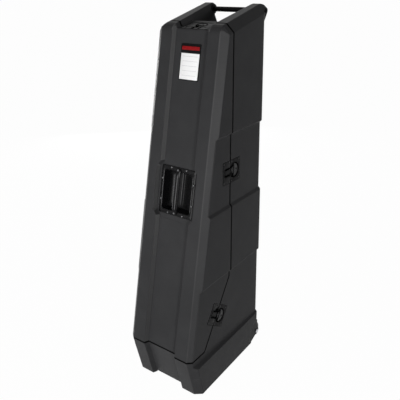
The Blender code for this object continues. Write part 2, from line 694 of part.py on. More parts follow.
def latch(tag, place, spec):
    half, main, keeper = spec["half"], spec["main"], spec["keeper"]
    well_y, well_r, slot = spec["well_y"], spec["well_radius"], spec["slot"]
    edge = SEAM_GAP / 2

    # Shell pockets and openings
    for owner, shell, low, high in (("main", back_shell, -main, 0.003), ("keeper", lid_shell, -0.003, keeper)):
        outline = rounded_rectangle(half + 0.0004, (high - low) / 2 + 0.0004, 0.004, 3, (0.0, (low + high) / 2))
        if owner == "main":
            outline = [(x, 0.003 if y > -0.004 else y) for x, y in outline]
        else:
            outline = [(x, -0.003 if y < 0.004 else y) for x, y in outline]
        pocket = extruded(outline, POCKET_FLOOR, 0.010, "Z")
        combine(shell, as_cutter(from_bmesh(f"{tag}_{owner}_pocket", placed(pocket, place))))
    round_hole = moved(round_bar([(well_r + SHEET + 0.0006, -0.030), (well_r + SHEET + 0.0006, 0.010)], LARGE),
                       (0, well_y, 0))
    combine(back_shell, as_cutter(from_bmesh(tag + "_round_hole", placed(round_hole, place))))
    slot_hole = block((-slot - SHEET - 0.0005, well_y, -0.030), (slot + SHEET + 0.0005, 0.004, 0.010))
    combine(back_shell, as_cutter(from_bmesh(tag + "_slot_hole", placed(slot_hole, place))))
    keeper_hole = extruded(keeper_outline(spec, SHEET + 0.0005), -0.030, 0.010, "Z")
    combine(lid_shell, as_cutter(from_bmesh(tag + "_keeper_hole", placed(keeper_hole, place))))
    reach = well_r + SHEET + 0.002
    liner_cut = block((-reach, well_y - reach, -0.0160), (reach, keeper + 0.002, 0.040))
    liner_openings.append(as_cutter(from_bmesh(tag + "_liner_opening", placed(liner_cut, place))))

    # Main dish
    outline = rounded_rectangle(half, main / 2, 0.004, 3, (0.0, -main / 2))
    outline = [(x, 0.0010 if y > -0.005 else y) for x, y in outline]
    dish = from_bmesh(tag + "_dish", placed(extruded(outline, FLANGE[0], FLANGE[1], "Z"), place), BLACK_STEEL)
    cup = moved(round_bar([(well_r + SHEET - 0.003, WELL_FLOOR - SHEET), (well_r + SHEET, WELL_FLOOR - SHEET + 0.003),
                           (well_r + SHEET, -0.0010)], LARGE), (0, well_y, 0))
    combine(dish, as_cutter(from_bmesh(tag + "_cup", placed(cup, place))), "UNION")
    spout = block((-slot - SHEET, well_y, WELL_FLOOR - SHEET + 0.0002), (slot + SHEET, 0.0010, -0.0012))
    combine(dish, as_cutter(from_bmesh(tag + "_spout", placed(spout, place))), "UNION")
    well = moved(round_bar([(well_r - 0.003, WELL_FLOOR), (well_r, WELL_FLOOR + 0.003), (well_r, 0.010)],
                           LARGE), (0, well_y, 0))
    combine(dish, as_cutter(from_bmesh(tag + "_well", placed(well, place))))
    way = block((-slot, well_y, WELL_FLOOR + 0.0002), (slot, 0.012, 0.012))
    combine(dish, as_cutter(from_bmesh(tag + "_way", placed(way, place))))
    seam_cut = block((-0.100, -edge, -0.050), (0.100, 0.100, 0.050))
    combine(dish, as_cutter(from_bmesh(tag + "_seam_cut", placed(seam_cut, place))))

    # Keeper, with the lip the hook pulls on
    outline = rounded_rectangle(half, keeper / 2, 0.004, 3, (0.0, keeper / 2))
    outline = [(x, -0.0010 if y < 0.005 else y) for x, y in outline]
    catch = from_bmesh(tag + "_keeper", placed(extruded(outline, FLANGE[0], FLANGE[1], "Z"), place), BLACK_STEEL)
    tray = extruded(keeper_outline(spec, SHEET), WELL_FLOOR - SHEET, -0.0010, "Z")
    combine(catch, as_cutter(from_bmesh(tag + "_tray", placed(tray, place))), "UNION")
    tray_hollow = extruded([(x, y - 0.001) for x, y in keeper_outline(spec, 0.0)], WELL_FLOOR, 0.010, "Z")
    combine(catch, as_cutter(from_bmesh(tag + "_tray_hollow", placed(tray_hollow, place))))
    lip = block((-0.0120, spec["lip"][0], WELL_FLOOR - 0.0005), (0.0120, spec["lip"][1], spec["lip_top"]))
    combine(catch, as_cutter(from_bmesh(tag + "_lip", placed(lip, place))), "UNION")
    keeper_cut = block((-0.100, -0.100, -0.050), (0.100, edge, 0.050))
    combine(catch, as_cutter(from_bmesh(tag + "_keeper_cut", placed(keeper_cut, place))))

    # Rivets
    for owner, shell, part, spots in (("shell", back_shell, dish, spec["main_rivets"]),
                                      ("lid", lid_shell, catch, spec["keeper_rivets"])):
        holes = []
        rivets = []
        for x, y in spots:
            body = rivet(0.0034, -0.0010, 0.0008, 0.0016, -0.0053, -0.0064, 0.0028)
            rivets.append(placed(moved(body, (x, y, 0)), place))
            hole = round_bar([(0.0021, -0.0120), (0.0021, 0.0100)], TINY)
            holes.append(placed(moved(hole, (x, y, 0)), place))
        combine(part, as_cutter(from_bmesh(f"{tag}_{owner}_rivets", merged(rivets))), "UNION")
        combine(shell, as_cutter(from_bmesh(f"{tag}_{owner}_rivet_holes", merged(holes))))

    # Hub: shaft, disc and the two lugs that carry the flap
    hub_r = spec["hub_radius"]
    hub = moved(round_bar([(0.0040, WELL_FLOOR + 0.0003), (0.0040, HUB_DISC[0]), (hub_r, HUB_DISC[0]),
                           (hub_r, HUB_DISC[1])], MEDIUM), (0, well_y, 0))
    hub = from_bmesh(tag + "_hub", placed(hub, place), BLACK_STEEL)
    lug_in, lug_out = hub_r - 0.0042, hub_r - 0.0016
    lugs = [block((low, well_y - 0.0022, HUB_DISC[1] - 0.0005), (high, well_y + 0.0022, -0.0002))
            for low, high in ((-lug_out, -lug_in), (lug_in, lug_out))]
    combine(hub, as_cutter(from_bmesh(tag + "_lugs", placed(merged(lugs), place))), "UNION")
    eye = placed(moved(round_bar([(0.0011, -0.030), (0.0011, 0.030)], TINY, "X"), (0, well_y, FLAP_AXIS)), place)
    combine(hub, as_cutter(from_bmesh(tag + "_eye", eye)))

    # Flap: half disc, notched round the lugs, with its pin
    flap_r = spec["flap_radius"]
    front = well_y + 0.0007
    outline = [(flap_r, front)] + [(-flap_r, front)]
    outline += arc((0.0, well_y), flap_r, 180, 360, 14)[1:-1]
    flap = from_bmesh(tag + "_flap", placed(extruded(outline, FLAP[0], FLAP[1], "Z"), place), BLACK_STEEL)
    notches = [block((low - 0.0004, well_y - 0.0034, -0.010), (high + 0.0004, well_y + 0.0100, 0.010))
               for low, high in ((-lug_out, -lug_in), (lug_in, lug_out))]
    combine(flap, as_cutter(from_bmesh(tag + "_notches", placed(merged(notches), place))))
    finger = moved(round_bar([(0.0035, -0.010), (0.0035, 0.010)], SMALL), (0, well_y - flap_r * 0.62, 0))
    combine(flap, as_cutter(from_bmesh(tag + "_flap_hole", placed(finger, place))))
    pin = placed(moved(round_bar([(0.00065, -lug_out - 0.001), (0.00065, lug_out + 0.001)], 6, "X"),
                       (0, well_y, FLAP_AXIS)), place)
    combine(flap, as_cutter(from_bmesh(tag + "_flap_pin", pin)), "UNION")

    # Hook: slides under the hub and steps over the seam to a nose behind the lip
    low, high = spec["arm"]
    nose_in, nose_out, nose_low = spec["nose"]
    rear = well_y - 0.0085
    side_view = [(rear, low), (0.0020, low), (0.0045, -0.0035), (nose_in, -0.0035), (nose_in, nose_low),
                 (nose_out, nose_low), (nose_out, -0.0015), (0.0030, -0.0015), (0.0005, high), (rear, high)]
    hook = from_bmesh(tag + "_hook", placed(extruded(side_view, -0.0080, 0.0080, "X"), place), BLACK_STEEL)
    gap = block((-0.0045, well_y - 0.0046, -0.020), (0.0045, well_y + 0.0118, 0.010))
    combine(hook, as_cutter(from_bmesh(tag + "_hook_slot", placed(gap, place))))


SIDE_LATCH = dict(
    half=0.0430, main=0.0620, keeper=0.0480, well_y=-0.0260, well_radius=0.0290, slot=0.0125, well_end=0.0340,
    flare=0.0, lip=(0.0140, 0.0180), lip_top=-0.0085, hub_radius=0.0130, flap_radius=0.0240, arm=(-0.0075, -0.0055),
    nose=(0.0255, 0.0295, -0.0075),
    main_rivets=((-0.035, -0.054), (0.035, -0.054), (-0.036, -0.008), (0.036, -0.008)),
    keeper_rivets=((-0.035, 0.040), (0.035, 0.040), (-0.037, 0.008), (0.037, 0.008)),
)
LOWER_LATCH = dict(SIDE_LATCH, flare=0.0145)
TOP_LATCH = dict(
    half=0.0560, main=0.0500, keeper=0.0225, well_y=-0.0245, well_radius=0.0210, slot=0.0100, well_end=0.0203,
    flare=0.0, lip=(0.0050, 0.0085), lip_top=-0.0095, hub_radius=0.0105, flap_radius=0.0175, arm=(-0.0065, -0.0051),
    nose=(0.0160, 0.0190, -0.0055),
    main_rivets=((-0.047, -0.042), (0.047, -0.042), (-0.047, -0.010), (0.047, -0.010)),
    keeper_rivets=((-0.047, 0.0125), (0.047, 0.0125)),
)


def side_latch_frame(z, y, along):
    surface_x = half_width(z) - BAND_DEPTH
    normal = Vector((1.0, 0.0, SIDE_TAPER)).normalized()
    direction = Vector(along)
    direction.x = -SIDE_TAPER * direction.z
    return frame_at((surface_x, y, z), direction, normal)


UPPER_LATCH_Z = 0.8560
LOWER_LATCH_Z = 0.3005
DIAGONAL = Vector((0.0, seam_y(SEAM_BEND_Z) - SEAM_FOOT_Y, SEAM_BEND_Z - FOOT_Z))
lower_latch_y = SEAM_FOOT_Y + (LOWER_LATCH_Z - FOOT_Z) * DIAGONAL.y / DIAGONAL.z
top_slope = (CHANNEL_CREST[1] - CHANNEL_FRONT[1]) / (CHANNEL_CREST[0] - CHANNEL_FRONT[0])
LATCHES = {
    "upper_latch": (side_latch_frame(UPPER_LATCH_Z, seam_y(UPPER_LATCH_Z), (0.0, SEAM_SLOPE, 1.0)), SIDE_LATCH),
    "lower_latch": (side_latch_frame(LOWER_LATCH_Z, lower_latch_y, DIAGONAL), LOWER_LATCH),
    "top_latch": (frame_at((0.0, SEAM_TOP_Y, channel_z(SEAM_TOP_Y)), (-1, 0, 0), (0.0, -top_slope, 1.0)), TOP_LATCH)}
for tag, (place, spec) in LATCHES.items():
    latch(tag, place, spec)

# Carry handle: a sunk dish across the front panel, with an upright grip over it

DISH_HALF_X = 0.0755
DISH_HALF_UP = 0.0895
DISH_DEPTH = 0.0340
floor = -PANEL_NORMAL_DEPTH
opening = extruded(rounded_rectangle(0.0662, 0.0755, 0.0125), -0.080, floor + 0.010, "Z")
combine(lid_shell, as_cutter(from_bmesh("handle_opening", placed(opening, HANDLE_FRAME))))
rim = extruded(rounded_rectangle(DISH_HALF_X, DISH_HALF_UP, 0.010, 3), floor + 0.0003, floor + 0.0023, "Z")
dish = from_bmesh("carry_handle_dish", placed(rim, HANDLE_FRAME), PLASTIC)
tub_rings = [[Vector((x, y, z)) for x, y in rounded_rectangle(hx, hy, r, 2)] for hx, hy, r, z in (
    (0.0480, 0.0640, 0.020, floor - DISH_DEPTH - 0.002), (0.0610, 0.0705, 0.014, floor - DISH_DEPTH * 0.6),
    (0.0656, 0.0748, 0.012, floor - 0.004), (0.0656, 0.0748, 0.012, floor + 0.0015))]
combine(dish, as_cutter(from_bmesh("handle_tub", placed(lofted(tub_rings), HANDLE_FRAME))), "UNION")
tub_rings = [[Vector((x, y, z)) for x, y in rounded_rectangle(hx, hy, r, 2)] for hx, hy, r, z in (
    (0.0460, 0.0620, 0.018, floor - DISH_DEPTH), (0.0590, 0.0685, 0.012, floor - DISH_DEPTH * 0.6),
    (0.0636, 0.0728, 0.010, floor - 0.004), (0.0636, 0.0728, 0.010, floor + 0.020))]
combine(dish, as_cutter(from_bmesh("handle_tub_hollow", placed(lofted(tub_rings), HANDLE_FRAME))))

top = floor + 0.0026
grip_outline = [(-0.0845, top), (-0.0700, top), (-0.0600, top + 0.0010), (0.0600, top + 0.0010), (0.0700, top),
                (0.0845, top), (0.0845, top + 0.0045), (0.0720, top + 0.0090), (0.0560, top + 0.0115),
                (-0.0560, top + 0.0115), (-0.0720, top + 0.0090), (-0.0845, top + 0.0045)]
grip = from_bmesh("carry_handle_grip", placed(extruded(grip_outline, -0.0110, 0.0110, "X"), HANDLE_FRAME), PLASTIC)
soften = grip.modifiers.new("soften", "BEVEL")
soften.width = 0.0014
soften.segments = 1
soften.limit_method = "ANGLE"
soften.angle_limit = math.radians(40)

dish_rivets = []
panel_holes = []
for x, up in ([(side * 0.0700, up) for side in (-1, 1) for up in (-0.0380, 0.0380)]
              + [(side * 0.0330, up) for side in (-1, 1) for up in (-0.0835, 0.0835)]):
    body = rivet(0.0033, floor + 0.0015, floor + 0.0032, 0.0016, floor - 0.0053, floor - 0.0064, 0.0028)
    dish_rivets.append(placed(moved(body, (x, up, 0)), HANDLE_FRAME))
    hole = round_bar([(0.0021, floor - 0.020), (0.0021, floor + 0.010)], TINY)
    panel_holes.append(placed(moved(hole, (x, up, 0)), HANDLE_FRAME))
grip_rivets = []
grip_holes = []
for up in (-0.0800, 0.0800):
    body = rivet(0.0042, top + 0.0030, top + 0.0085, 0.0020, floor - 0.0053, floor - 0.0066, 0.0032)
    grip_rivets.append(placed(moved(body, (0, up, 0)), HANDLE_FRAME))
    hole = round_bar([(0.0025, floor - 0.020), (0.0025, floor + 0.010)], TINY)
    grip_holes.append(placed(moved(hole, (0, up, 0)), HANDLE_FRAME))
combine(dish, as_cutter(from_bmesh("dish_rivets", merged(dish_rivets))), "UNION")
combine(grip, as_cutter(from_bmesh("grip_rivets", merged(grip_rivets))), "UNION")
grip_hole_cutter = as_cutter(from_bmesh("grip_rivet_holes", merged(grip_holes)))
combine(dish, grip_hole_cutter)
combine(lid_shell, grip_hole_cutter)
combine(lid_shell, as_cutter(from_bmesh("dish_rivet_holes", merged(panel_holes))))

# Card holder near the top of the front panel

CARD_Z = (1.1700, 1.2890)
card_middle = sum(CARD_Z) / 2
card_frame_place = frame_at((0, front_y(card_middle) + PANEL_DEPTH, card_middle), (1, 0, 0), (0, -1, FRONT_LEAN))
stretch = 1 / math.cos(LEAN)
half_up = (CARD_Z[1] - CARD_Z[0]) / 2 * stretch
holder = from_bmesh("card_holder", placed(extruded(
    rounded_rectangle(0.0410, half_up, 0.0020, 3), 0.0003, 0.0024, "Z"), card_frame_place), PLASTIC)


def card_span(low, high):
    return (low - card_middle) * stretch, (high - card_middle) * stretch


for name, half_x, (low, high), material, thickness in (
        ("card", 0.0385, card_span(1.1730, 1.2580), CARD, 0.0006),
        ("card_strip", 0.0385, card_span(1.2670, 1.2845), RED, 0.0008)):
    recess = block((-half_x - 0.0004, low - 0.0004, 0.0011), (half_x + 0.0004, high + 0.0004, 0.010))
    combine(holder, as_cutter(from_bmesh(name + "_recess", placed(recess, card_frame_place))))
    sheet = block((-half_x, low, 0.0014), (half_x, high, 0.0014 + thickness))
    from_bmesh(name, placed(sheet, card_frame_place), material)

# Inside: liners, base pad, divider and neck rests

body_liner = back_block("body_liner", -0.0135)
lid_liner = front_block("lid_liner", 0.0125)
for liner in (body_liner, lid_liner):
    liner.hide_render = False
    liner.display_type = "TEXTURED"
    liner.data.materials.append(FOAM)
    combine(liner, liner_inside)
    combine(liner, liner_outside, "INTERSECT")
    for cutter in liner_openings:
        combine(liner, cutter)
bay = extruded(rounded_rectangle(0.0685, 0.0785, 0.012), -0.120, floor + 0.010, "Z")
combine(lid_liner, as_cutter(from_bmesh("handle_liner_opening", placed(bay, HANDLE_FRAME))))

# Strips that stand out of the back shell and locate the lid

tongue_low, tongue_high = 0.465, 1.300
tongue_outside = case_form("tongue_outside", WALL + 0.0006)
tongue_inside = case_form("tongue_inside", WALL + 0.0024)
for name, x, clip in (
        ("locating_strip_left", -1, (0.0, 2.0)),
        ("locating_strip_right_lower", 1, (0.0, UPPER_LATCH_Z - 0.045)),
        ("locating_strip_right_upper", 1, (UPPER_LATCH_Z + 0.045, 2.0))):
    low, high = max(clip[0], tongue_low), min(clip[1], tongue_high)
    outline = [(seam_y(low) - 0.006, low), (seam_y(low) + 0.010, low),
               (seam_y(high) + 0.010, high), (seam_y(high) - 0.006, high)]
    low_x, high_x = sorted((x * 0.060, x * 0.300))
    strip = from_bmesh(name, extruded(outline, low_x, high_x, "X"), BLACK_STEEL)
    combine(strip, tongue_outside, "INTERSECT")
    combine(strip, tongue_inside)

PAD_TOP = 0.118
pad_form = case_form("pad_form", LINER_OUT + LINER + 0.0006)
base_pad = from_bmesh("base_pad", block((-0.200, -0.300, 0.0), (0.200, 0.300, PAD_TOP)), FOAM)
combine(base_pad, pad_form, "INTERSECT")
for side, word in SIDES:
    low_x, high_x = sorted((side * 0.0180, side * 0.1050))
    seat = moved(round_bar([(0.2300, low_x), (0.2300, high_x)], 64, "X"), (0.0, -0.010, PAD_TOP + 0.205))
    combine(base_pad, as_cutter(from_bmesh("instrument_seat_" + word, seat)))

DIVIDER_TOP = 1.000
divider_outline = [(0.1980, PAD_TOP + 0.0005), (0.1980, DIVIDER_TOP), (front_y(DIVIDER_TOP) + 0.066, DIVIDER_TOP),
                   (front_y(FOOT_Z) + 0.066, FOOT_Z), (-0.1860, PAD_TOP + 0.0005)]
divider = from_bmesh("divider", extruded(divider_outline, -0.0120, 0.0120, "X"), FOAM)
soften = divider.modifiers.new("soften", "BEVEL")
soften.width = 0.004
soften.segments = 1

for side, word in SIDES:
    inner, outer = 0.0176, 0.1120
    middle = (inner + outer) / 2
    notch_half = 0.0210
    outline = [(inner, 0.1980), (inner, 0.0850), (middle - notch_half - 0.004, 0.0850),
               (middle - notch_half, 0.0890)]
    outline += arc((middle, 0.1400), notch_half, 180, 0, 10)
    outline += [(middle + notch_half, 0.0890), (middle + notch_half + 0.004, 0.0850), (outer, 0.0850),
                (outer, 0.1980)]
    outline = [(side * x, y) for x, y in outline]
    from_bmesh("neck_cradle_" + word, extruded(outline, 0.9500, 1.0300, "Z"), FOAM)
    strap = [(inner - 0.0024, 0.1250), (inner - 0.0004, 0.1250), (inner - 0.0004, 0.0846),
             (outer + 0.0004, 0.0846), (outer + 0.0004, 0.1250), (outer + 0.0024, 0.1250),
             (outer + 0.0024, 0.0826), (inner - 0.0024, 0.0826)]
    from_bmesh("neck_strap_" + word, extruded([(side * x, y) for x, y in strap], 0.9750, 1.0050, "Z"), WEBBING)

# Empties on the joints' axes, which carry the moving pieces

def carrier(name, point, members, above=None):
    """An empty on a joint's axis, unturned, with the pieces that move there hung on it."""
    empty = bpy.data.objects.new(name, None)
    empty.empty_display_size = 0.05
    empty.location = point
    bpy.context.collection.objects.link(empty)
    if above:
        empty.parent = above
        empty.matrix_parent_inverse = Matrix.Translation(-above.location)
    for member in members:
        item = bpy.data.objects[member]
        item.parent = empty
        item.matrix_parent_inverse = Matrix.Translation(-empty.location)
    return empty


lid_pieces = ["lid_shell", "lid_liner", "hinge_lower_lid_leaf", "hinge_upper_lid_leaf", "carry_handle_dish",
              "carry_handle_grip", "card_holder", "card", "card_strip"]
carrier("lid_axis", hinge_point(0.9), lid_pieces + [tag + "_keeper" for tag in LATCHES])
for side, word in SIDES:
    turning = ["tyre_" + word, "wheel_hub_" + word, f"bearing_{word}_inner", f"bearing_{word}_outer"]
    carrier("wheel_axis_" + word, (side * WHEEL_X, WHEEL_Y, WHEEL_Z), turning)
for tag, (place, spec) in LATCHES.items():
    hub_axis = carrier(tag + "_hub_axis", place @ Vector((0.0, spec["well_y"], WELL_FLOOR)), [tag + "_hub"])
    carrier(tag + "_flap_axis", place @ Vector((0.0, spec["well_y"], FLAP_AXIS)), [tag + "_flap"], hub_axis)
    carrier(tag + "_hook_axis", place @ Vector((0.0, spec["well_y"], WELL_FLOOR)), [tag + "_hook"])
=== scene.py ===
"""Looks of a dual bass guitar case.

The shells, wheel housings, hinges, tongue strips and hooks are the case's own solids with their finishes. The
latch pans, wheels, tow bar, carry handle, card and every soft piece are made here, each in the place of the
solid it stands for.
"""

import json
import math

import bmesh
import bpy
from mathutils import Matrix, Vector


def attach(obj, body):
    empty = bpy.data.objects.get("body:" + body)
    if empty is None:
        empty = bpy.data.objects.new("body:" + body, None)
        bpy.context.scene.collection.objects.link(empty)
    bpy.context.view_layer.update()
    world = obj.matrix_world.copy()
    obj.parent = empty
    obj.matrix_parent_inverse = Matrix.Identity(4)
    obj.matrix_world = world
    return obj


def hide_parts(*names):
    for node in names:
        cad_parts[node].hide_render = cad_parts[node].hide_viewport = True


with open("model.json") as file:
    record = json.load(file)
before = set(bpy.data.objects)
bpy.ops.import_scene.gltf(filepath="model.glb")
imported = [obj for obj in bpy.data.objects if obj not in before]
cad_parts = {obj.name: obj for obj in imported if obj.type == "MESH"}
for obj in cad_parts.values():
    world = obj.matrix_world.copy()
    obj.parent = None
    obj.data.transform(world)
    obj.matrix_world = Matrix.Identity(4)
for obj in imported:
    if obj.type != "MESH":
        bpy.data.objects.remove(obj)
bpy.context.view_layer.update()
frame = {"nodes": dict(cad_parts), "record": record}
NODES = frame["nodes"]
JOINTS = {joint["name"]: joint for joint in frame["record"]["behaviour"]["joints"]}
SLOTS = {part["node"]: part["material_slot"] for part in frame["record"]["subparts"]}
BODIES = {node: body for body, nodes in frame["record"]["behaviour"]["bodies"].items() for node in nodes}
SIDES = ((-1, "left"), (1, "right"))


# Sizes of the shells, repeated from their solids

FRONT_Y, FRONT_Z, FRONT_LEAN = -0.2565, 0.178, 0.2049
PANEL_DEPTH = 0.018
SEAM_TOP_Y, SEAM_TOP_Z, SEAM_SLOPE = 0.022, 1.334, 0.0187
SEAM_BEND_Z, SEAM_FOOT_Y, SEAM_FOOT_Z = 0.430, -0.1645, 0.178
SEAM_BEND_Y = SEAM_TOP_Y - SEAM_SLOPE * (SEAM_TOP_Z - SEAM_BEND_Z)
SEAM_EDGE = 0.0009
# Below this height the front corners get no painted highlight
FOOT_HIGHLIGHT_Z = 0.182
SIDE_HALF, SIDE_TAPER = 0.1594, 0.010
CORNER_WIDTH, CORNER_DEPTH = 0.025, 0.022
RIB_FLANK, BAY_FLANK, BAY_HALF = (0.0665, 0.0790), (0.0840, 0.0975), (0.1000, 0.1280)
PANEL_FLOOR = -PANEL_DEPTH * math.cos(math.atan(FRONT_LEAN))

# Wheels, tow bar, carry handle and card

WHEEL_PLACE = Vector((0.1340, 0.2190, 0.0415))
BAR_PLACE = Vector((0.0, 0.2345, 1.3830))
HANDLE_Z = 0.7910
DISH_HALF_X, DISH_HALF_UP, DISH_DEPTH = 0.0755, 0.0895, 0.0340
WINDOW_HALF_X, WINDOW_HALF_UP = 0.0636, 0.0728
DISH_RIVETS = ([(side * 0.0700, up) for side in (-1, 1) for up in (-0.0380, 0.0380)]
               + [(side * 0.0330, up) for side in (-1, 1) for up in (-0.0835, 0.0835)])
# Where the carry handle gets painted highlight lines: distance out from the middle, width and strength
PAINTED_HIGHLIGHT_EDGES = ((0.0052, 0.0014, 1.0), (0.0108, 0.0010, 0.12), (0.0652, 0.0016, 0.8))
GRIP_HALF_UP, GRIP_HALF_X = 0.0845, 0.0110
CARD_MIDDLE_Z = 1.2295
CARD_STRETCH = math.hypot(1.0, FRONT_LEAN)
CARD_HALF, CARD_SPAN, STRIP_SPAN = 0.0385, (1.1730, 1.2580), (1.2670, 1.2845)
CARD_RULES = (1.1866, 1.2486)
CARD_RULE_PITCH, CARD_RULE_WIDTH, CARD_RULE_HALF = 0.0155, 0.0007, 0.0305
STRIP_BAND, STRIP_BAND_HALF = (1.2688, 1.2808), 0.0365

# Latches: levels of the pressed steel from the shell's face, and the outlines of the two kinds

FLANGE_LOW, FLANGE_HIGH = -0.0019, -0.0003
WELL_FLOOR, SHEET = -0.0125, 0.0013
DISC_LOW, DISC_HIGH = -0.0048, -0.0034
FLAP_LOW, FLAP_HIGH, FOLD = -0.0024, -0.0010, -0.0017
SIDE_LATCH = dict(
    half=0.0430, main=0.0620, keeper=0.0480, well_y=-0.0260, well_radius=0.0290, slot=0.0125, well_end=0.0340,
    flare=0.0, lip=(0.0140, 0.0180), lip_top=-0.0085, hub=0.0130, flap=0.0240,
    main_rivets=((-0.035, -0.054), (0.035, -0.054), (-0.036, -0.008), (0.036, -0.008)),
    keeper_rivets=((-0.035, 0.040), (0.035, 0.040), (-0.037, 0.008), (0.037, 0.008)), ears=None,
)
TOP_LATCH = dict(
    half=0.0560, main=0.0500, keeper=0.0225, well_y=-0.0245, well_radius=0.0210, slot=0.0100, well_end=0.0203,
    flare=0.0, lip=(0.0050, 0.0085), lip_top=-0.0095, hub=0.0105, flap=0.0175,
    main_rivets=((-0.047, -0.042), (0.047, -0.042), (-0.047, -0.010), (0.047, -0.010)),
    keeper_rivets=((-0.047, 0.0125), (0.047, 0.0125)), ears=(0.0068, 0.0040),
)
LATCHES = {"upper": SIDE_LATCH, "lower": dict(SIDE_LATCH, flare=0.0145), "top": TOP_LATCH}


# Camera, floor and light

CAMERA_PLACE = Vector((1.10209, -1.46405, 1.50947))
CAMERA_YAW, CAMERA_PITCH, CAMERA_ROLL = (math.radians(turn) for turn in (36.549, 23.441, -0.835))
FOCAL_PIXELS, PICTURE_PIXELS = 526.23, 400


def placed(name, data):
    item = bpy.data.objects.new(name, data)
    bpy.context.scene.collection.objects.link(item)
    return item


def camera_turn():
    right = Vector((math.cos(CAMERA_YAW), math.sin(CAMERA_YAW), 0.0))
    level = Vector((-math.sin(CAMERA_YAW), math.cos(CAMERA_YAW), 0.0))
    forward = level * math.cos(CAMERA_PITCH) - Vector((0.0, 0.0, math.sin(CAMERA_PITCH)))
    up = right.cross(forward)
    cos, sin = math.cos(CAMERA_ROLL), math.sin(CAMERA_ROLL)
    return Matrix((right * cos + up * sin, up * cos - right * sin, -forward)).transposed()


def photographer():
    lens = bpy.data.cameras.new("camera")
    lens.sensor_width = 36.0
    lens.lens = FOCAL_PIXELS / PICTURE_PIXELS * lens.sensor_width
    lens.clip_start, lens.clip_end = 0.05, 200.0
    camera = placed("camera", lens)
    camera.matrix_world = Matrix.Translation(CAMERA_PLACE) @ camera_turn().to_4x4()
    bpy.context.scene.camera = camera


def softbox(name, place, aim, width, height, watts):
    panel = bpy.data.lights.new(name, "AREA")
    panel.shape = "RECTANGLE"
    panel.size, panel.size_y = width, height
    panel.energy = watts
    lamp = placed(name, panel)
    lamp.location = place
    lamp.rotation_mode = "QUATERNION"
    lamp.rotation_quaternion = (Vector(aim) - Vector(place)).to_track_quat("-Z", "Y")


# Finishes

def worked_out(operation, swapped=False):
    """A method that feeds a signal and what it is combined with to one Math node."""
    def work(self, *others):
        terms = (*others, self) if swapped else (self, *others)
        return self.finish.node("Math", {"operation": operation}, dict(enumerate(terms)))
    return work


class Signal:
    """A shader value that adds, subtracts, multiplies and divides with Python's own signs."""

    def __init__(self, finish, socket):
        self.finish = finish
        self.socket = socket

    __add__ = __radd__ = worked_out("ADD")
    __sub__ = worked_out("SUBTRACT")
    __rsub__ = worked_out("SUBTRACT", swapped=True)
    __mul__ = __rmul__ = worked_out("MULTIPLY")
    __truediv__ = worked_out("DIVIDE")
    __gt__ = worked_out("GREATER_THAN")
    __lt__ = worked_out("LESS_THAN")
    __abs__ = worked_out("ABSOLUTE")
    wave = worked_out("SINE")
    part = worked_out("FRACT")

    def eased(self, low, high):
        """0 below low, 1 above high, with a smooth step between."""
        settings = {"interpolation_type": "SMOOTHSTEP"}
        return self.finish.node("MapRange", settings, {"Value": self, "From Min": low, "From Max": high})


class Finish:
    """One finish: a Principled shader and what feeds it, read on Object coordinates."""

    def __init__(self, name, colour, roughness, **fixed):
        self.material = bpy.data.materials.new(name)
        self.material.use_nodes = True
        self.tree = self.material.node_tree
        self.shader = self.tree.nodes["Principled BSDF"]
        self.shader.inputs["Base Color"].default_value = (*colour, 1.0)
        self.shader.inputs["Roughness"].default_value = roughness
        for socket, value in fixed.items():
            self.shader.inputs[socket.replace("_", " ")].default_value = value
        self.place = self.node("TexCoord", out="Object")
        self.normal = None

    def node(self, kind, settings=None, inputs=None, out=0):
        fresh = self.tree.nodes.new("ShaderNode" + kind)
        for key, value in (settings or {}).items():
            setattr(fresh, key, value)
        for key, value in (inputs or {}).items():
            if isinstance(value, Signal):
                self.tree.links.new(value.socket, fresh.inputs[key])
            else:
                fresh.inputs[key].default_value = value
        return Signal(self, fresh.outputs[out])

    def axis(self, letter):
        return self.node("SeparateXYZ", None, {0: self.place}, out=letter)

    def stretched(self, x, y, z):
        return self.node("Mapping", None, {"Vector": self.place, "Scale": (x, y, z)})

    def speckle(self, scale, detail, place=None):
        inputs = {"Vector": place or self.place, "Scale": scale, "Detail": detail}
        return self.node("TexNoise", None, inputs)

    def cells(self, scale):
        return self.node("TexVoronoi", None, {"Vector": self.place, "Scale": scale}, out="Distance")

    def tint(self, share, first, second):
        first, second = ((*c, 1.0) if isinstance(c, tuple) else c for c in (first, second))
        return self.node("Mix", {"data_type": "RGBA"}, {0: share, 6: first, 7: second}, out=2)

    def colour(self, signal):
        self.tree.links.new(signal.socket, self.shader.inputs["Base Color"])

    def rough(self, signal):
        self.tree.links.new(signal.socket, self.shader.inputs["Roughness"])

    def rounded(self, radius):
        """Soften the shading of sharp edges, as a moulded or pressed edge has."""
        self.normal = self.node("Bevel", {"samples": 6}, {"Radius": radius}, out="Normal")
        self.tree.links.new(self.normal.socket, self.shader.inputs["Normal"])

    def relief(self, height, depth, strength=1.0):
        inputs = {"Strength": strength, "Distance": depth, "Height": height}
        if self.normal:
            inputs["Normal"] = self.normal
        self.normal = self.node("Bump", None, inputs, out="Normal")
        self.tree.links.new(self.normal.socket, self.shader.inputs["Normal"])


def painted_seam_shade(finish, inner, outer):
    """Painted shade: 1 on the seam between the shells, fading to 0, from the seam's own three straight runs.
    """
    across, height = finish.axis("Y"), finish.axis("Z")
    side = abs(across - (SEAM_TOP_Y - SEAM_SLOPE * (SEAM_TOP_Z - height)))
    upper = (1.0 - side.eased(inner, outer)) * (height > SEAM_BEND_Z)
    lean = (SEAM_BEND_Y - SEAM_FOOT_Y) / (SEAM_BEND_Z - SEAM_FOOT_Z)
    slant = abs(across - (SEAM_FOOT_Y + (height - SEAM_FOOT_Z) * lean)) / math.hypot(1.0, lean)
    middle = (1.0 - slant.eased(inner, outer)) * (height < SEAM_BEND_Z) * (height > SEAM_FOOT_Z)
    foot = (1.0 - abs(height - SEAM_FOOT_Z).eased(inner, outer)) * (across < SEAM_FOOT_Y)
    return upper + middle + foot


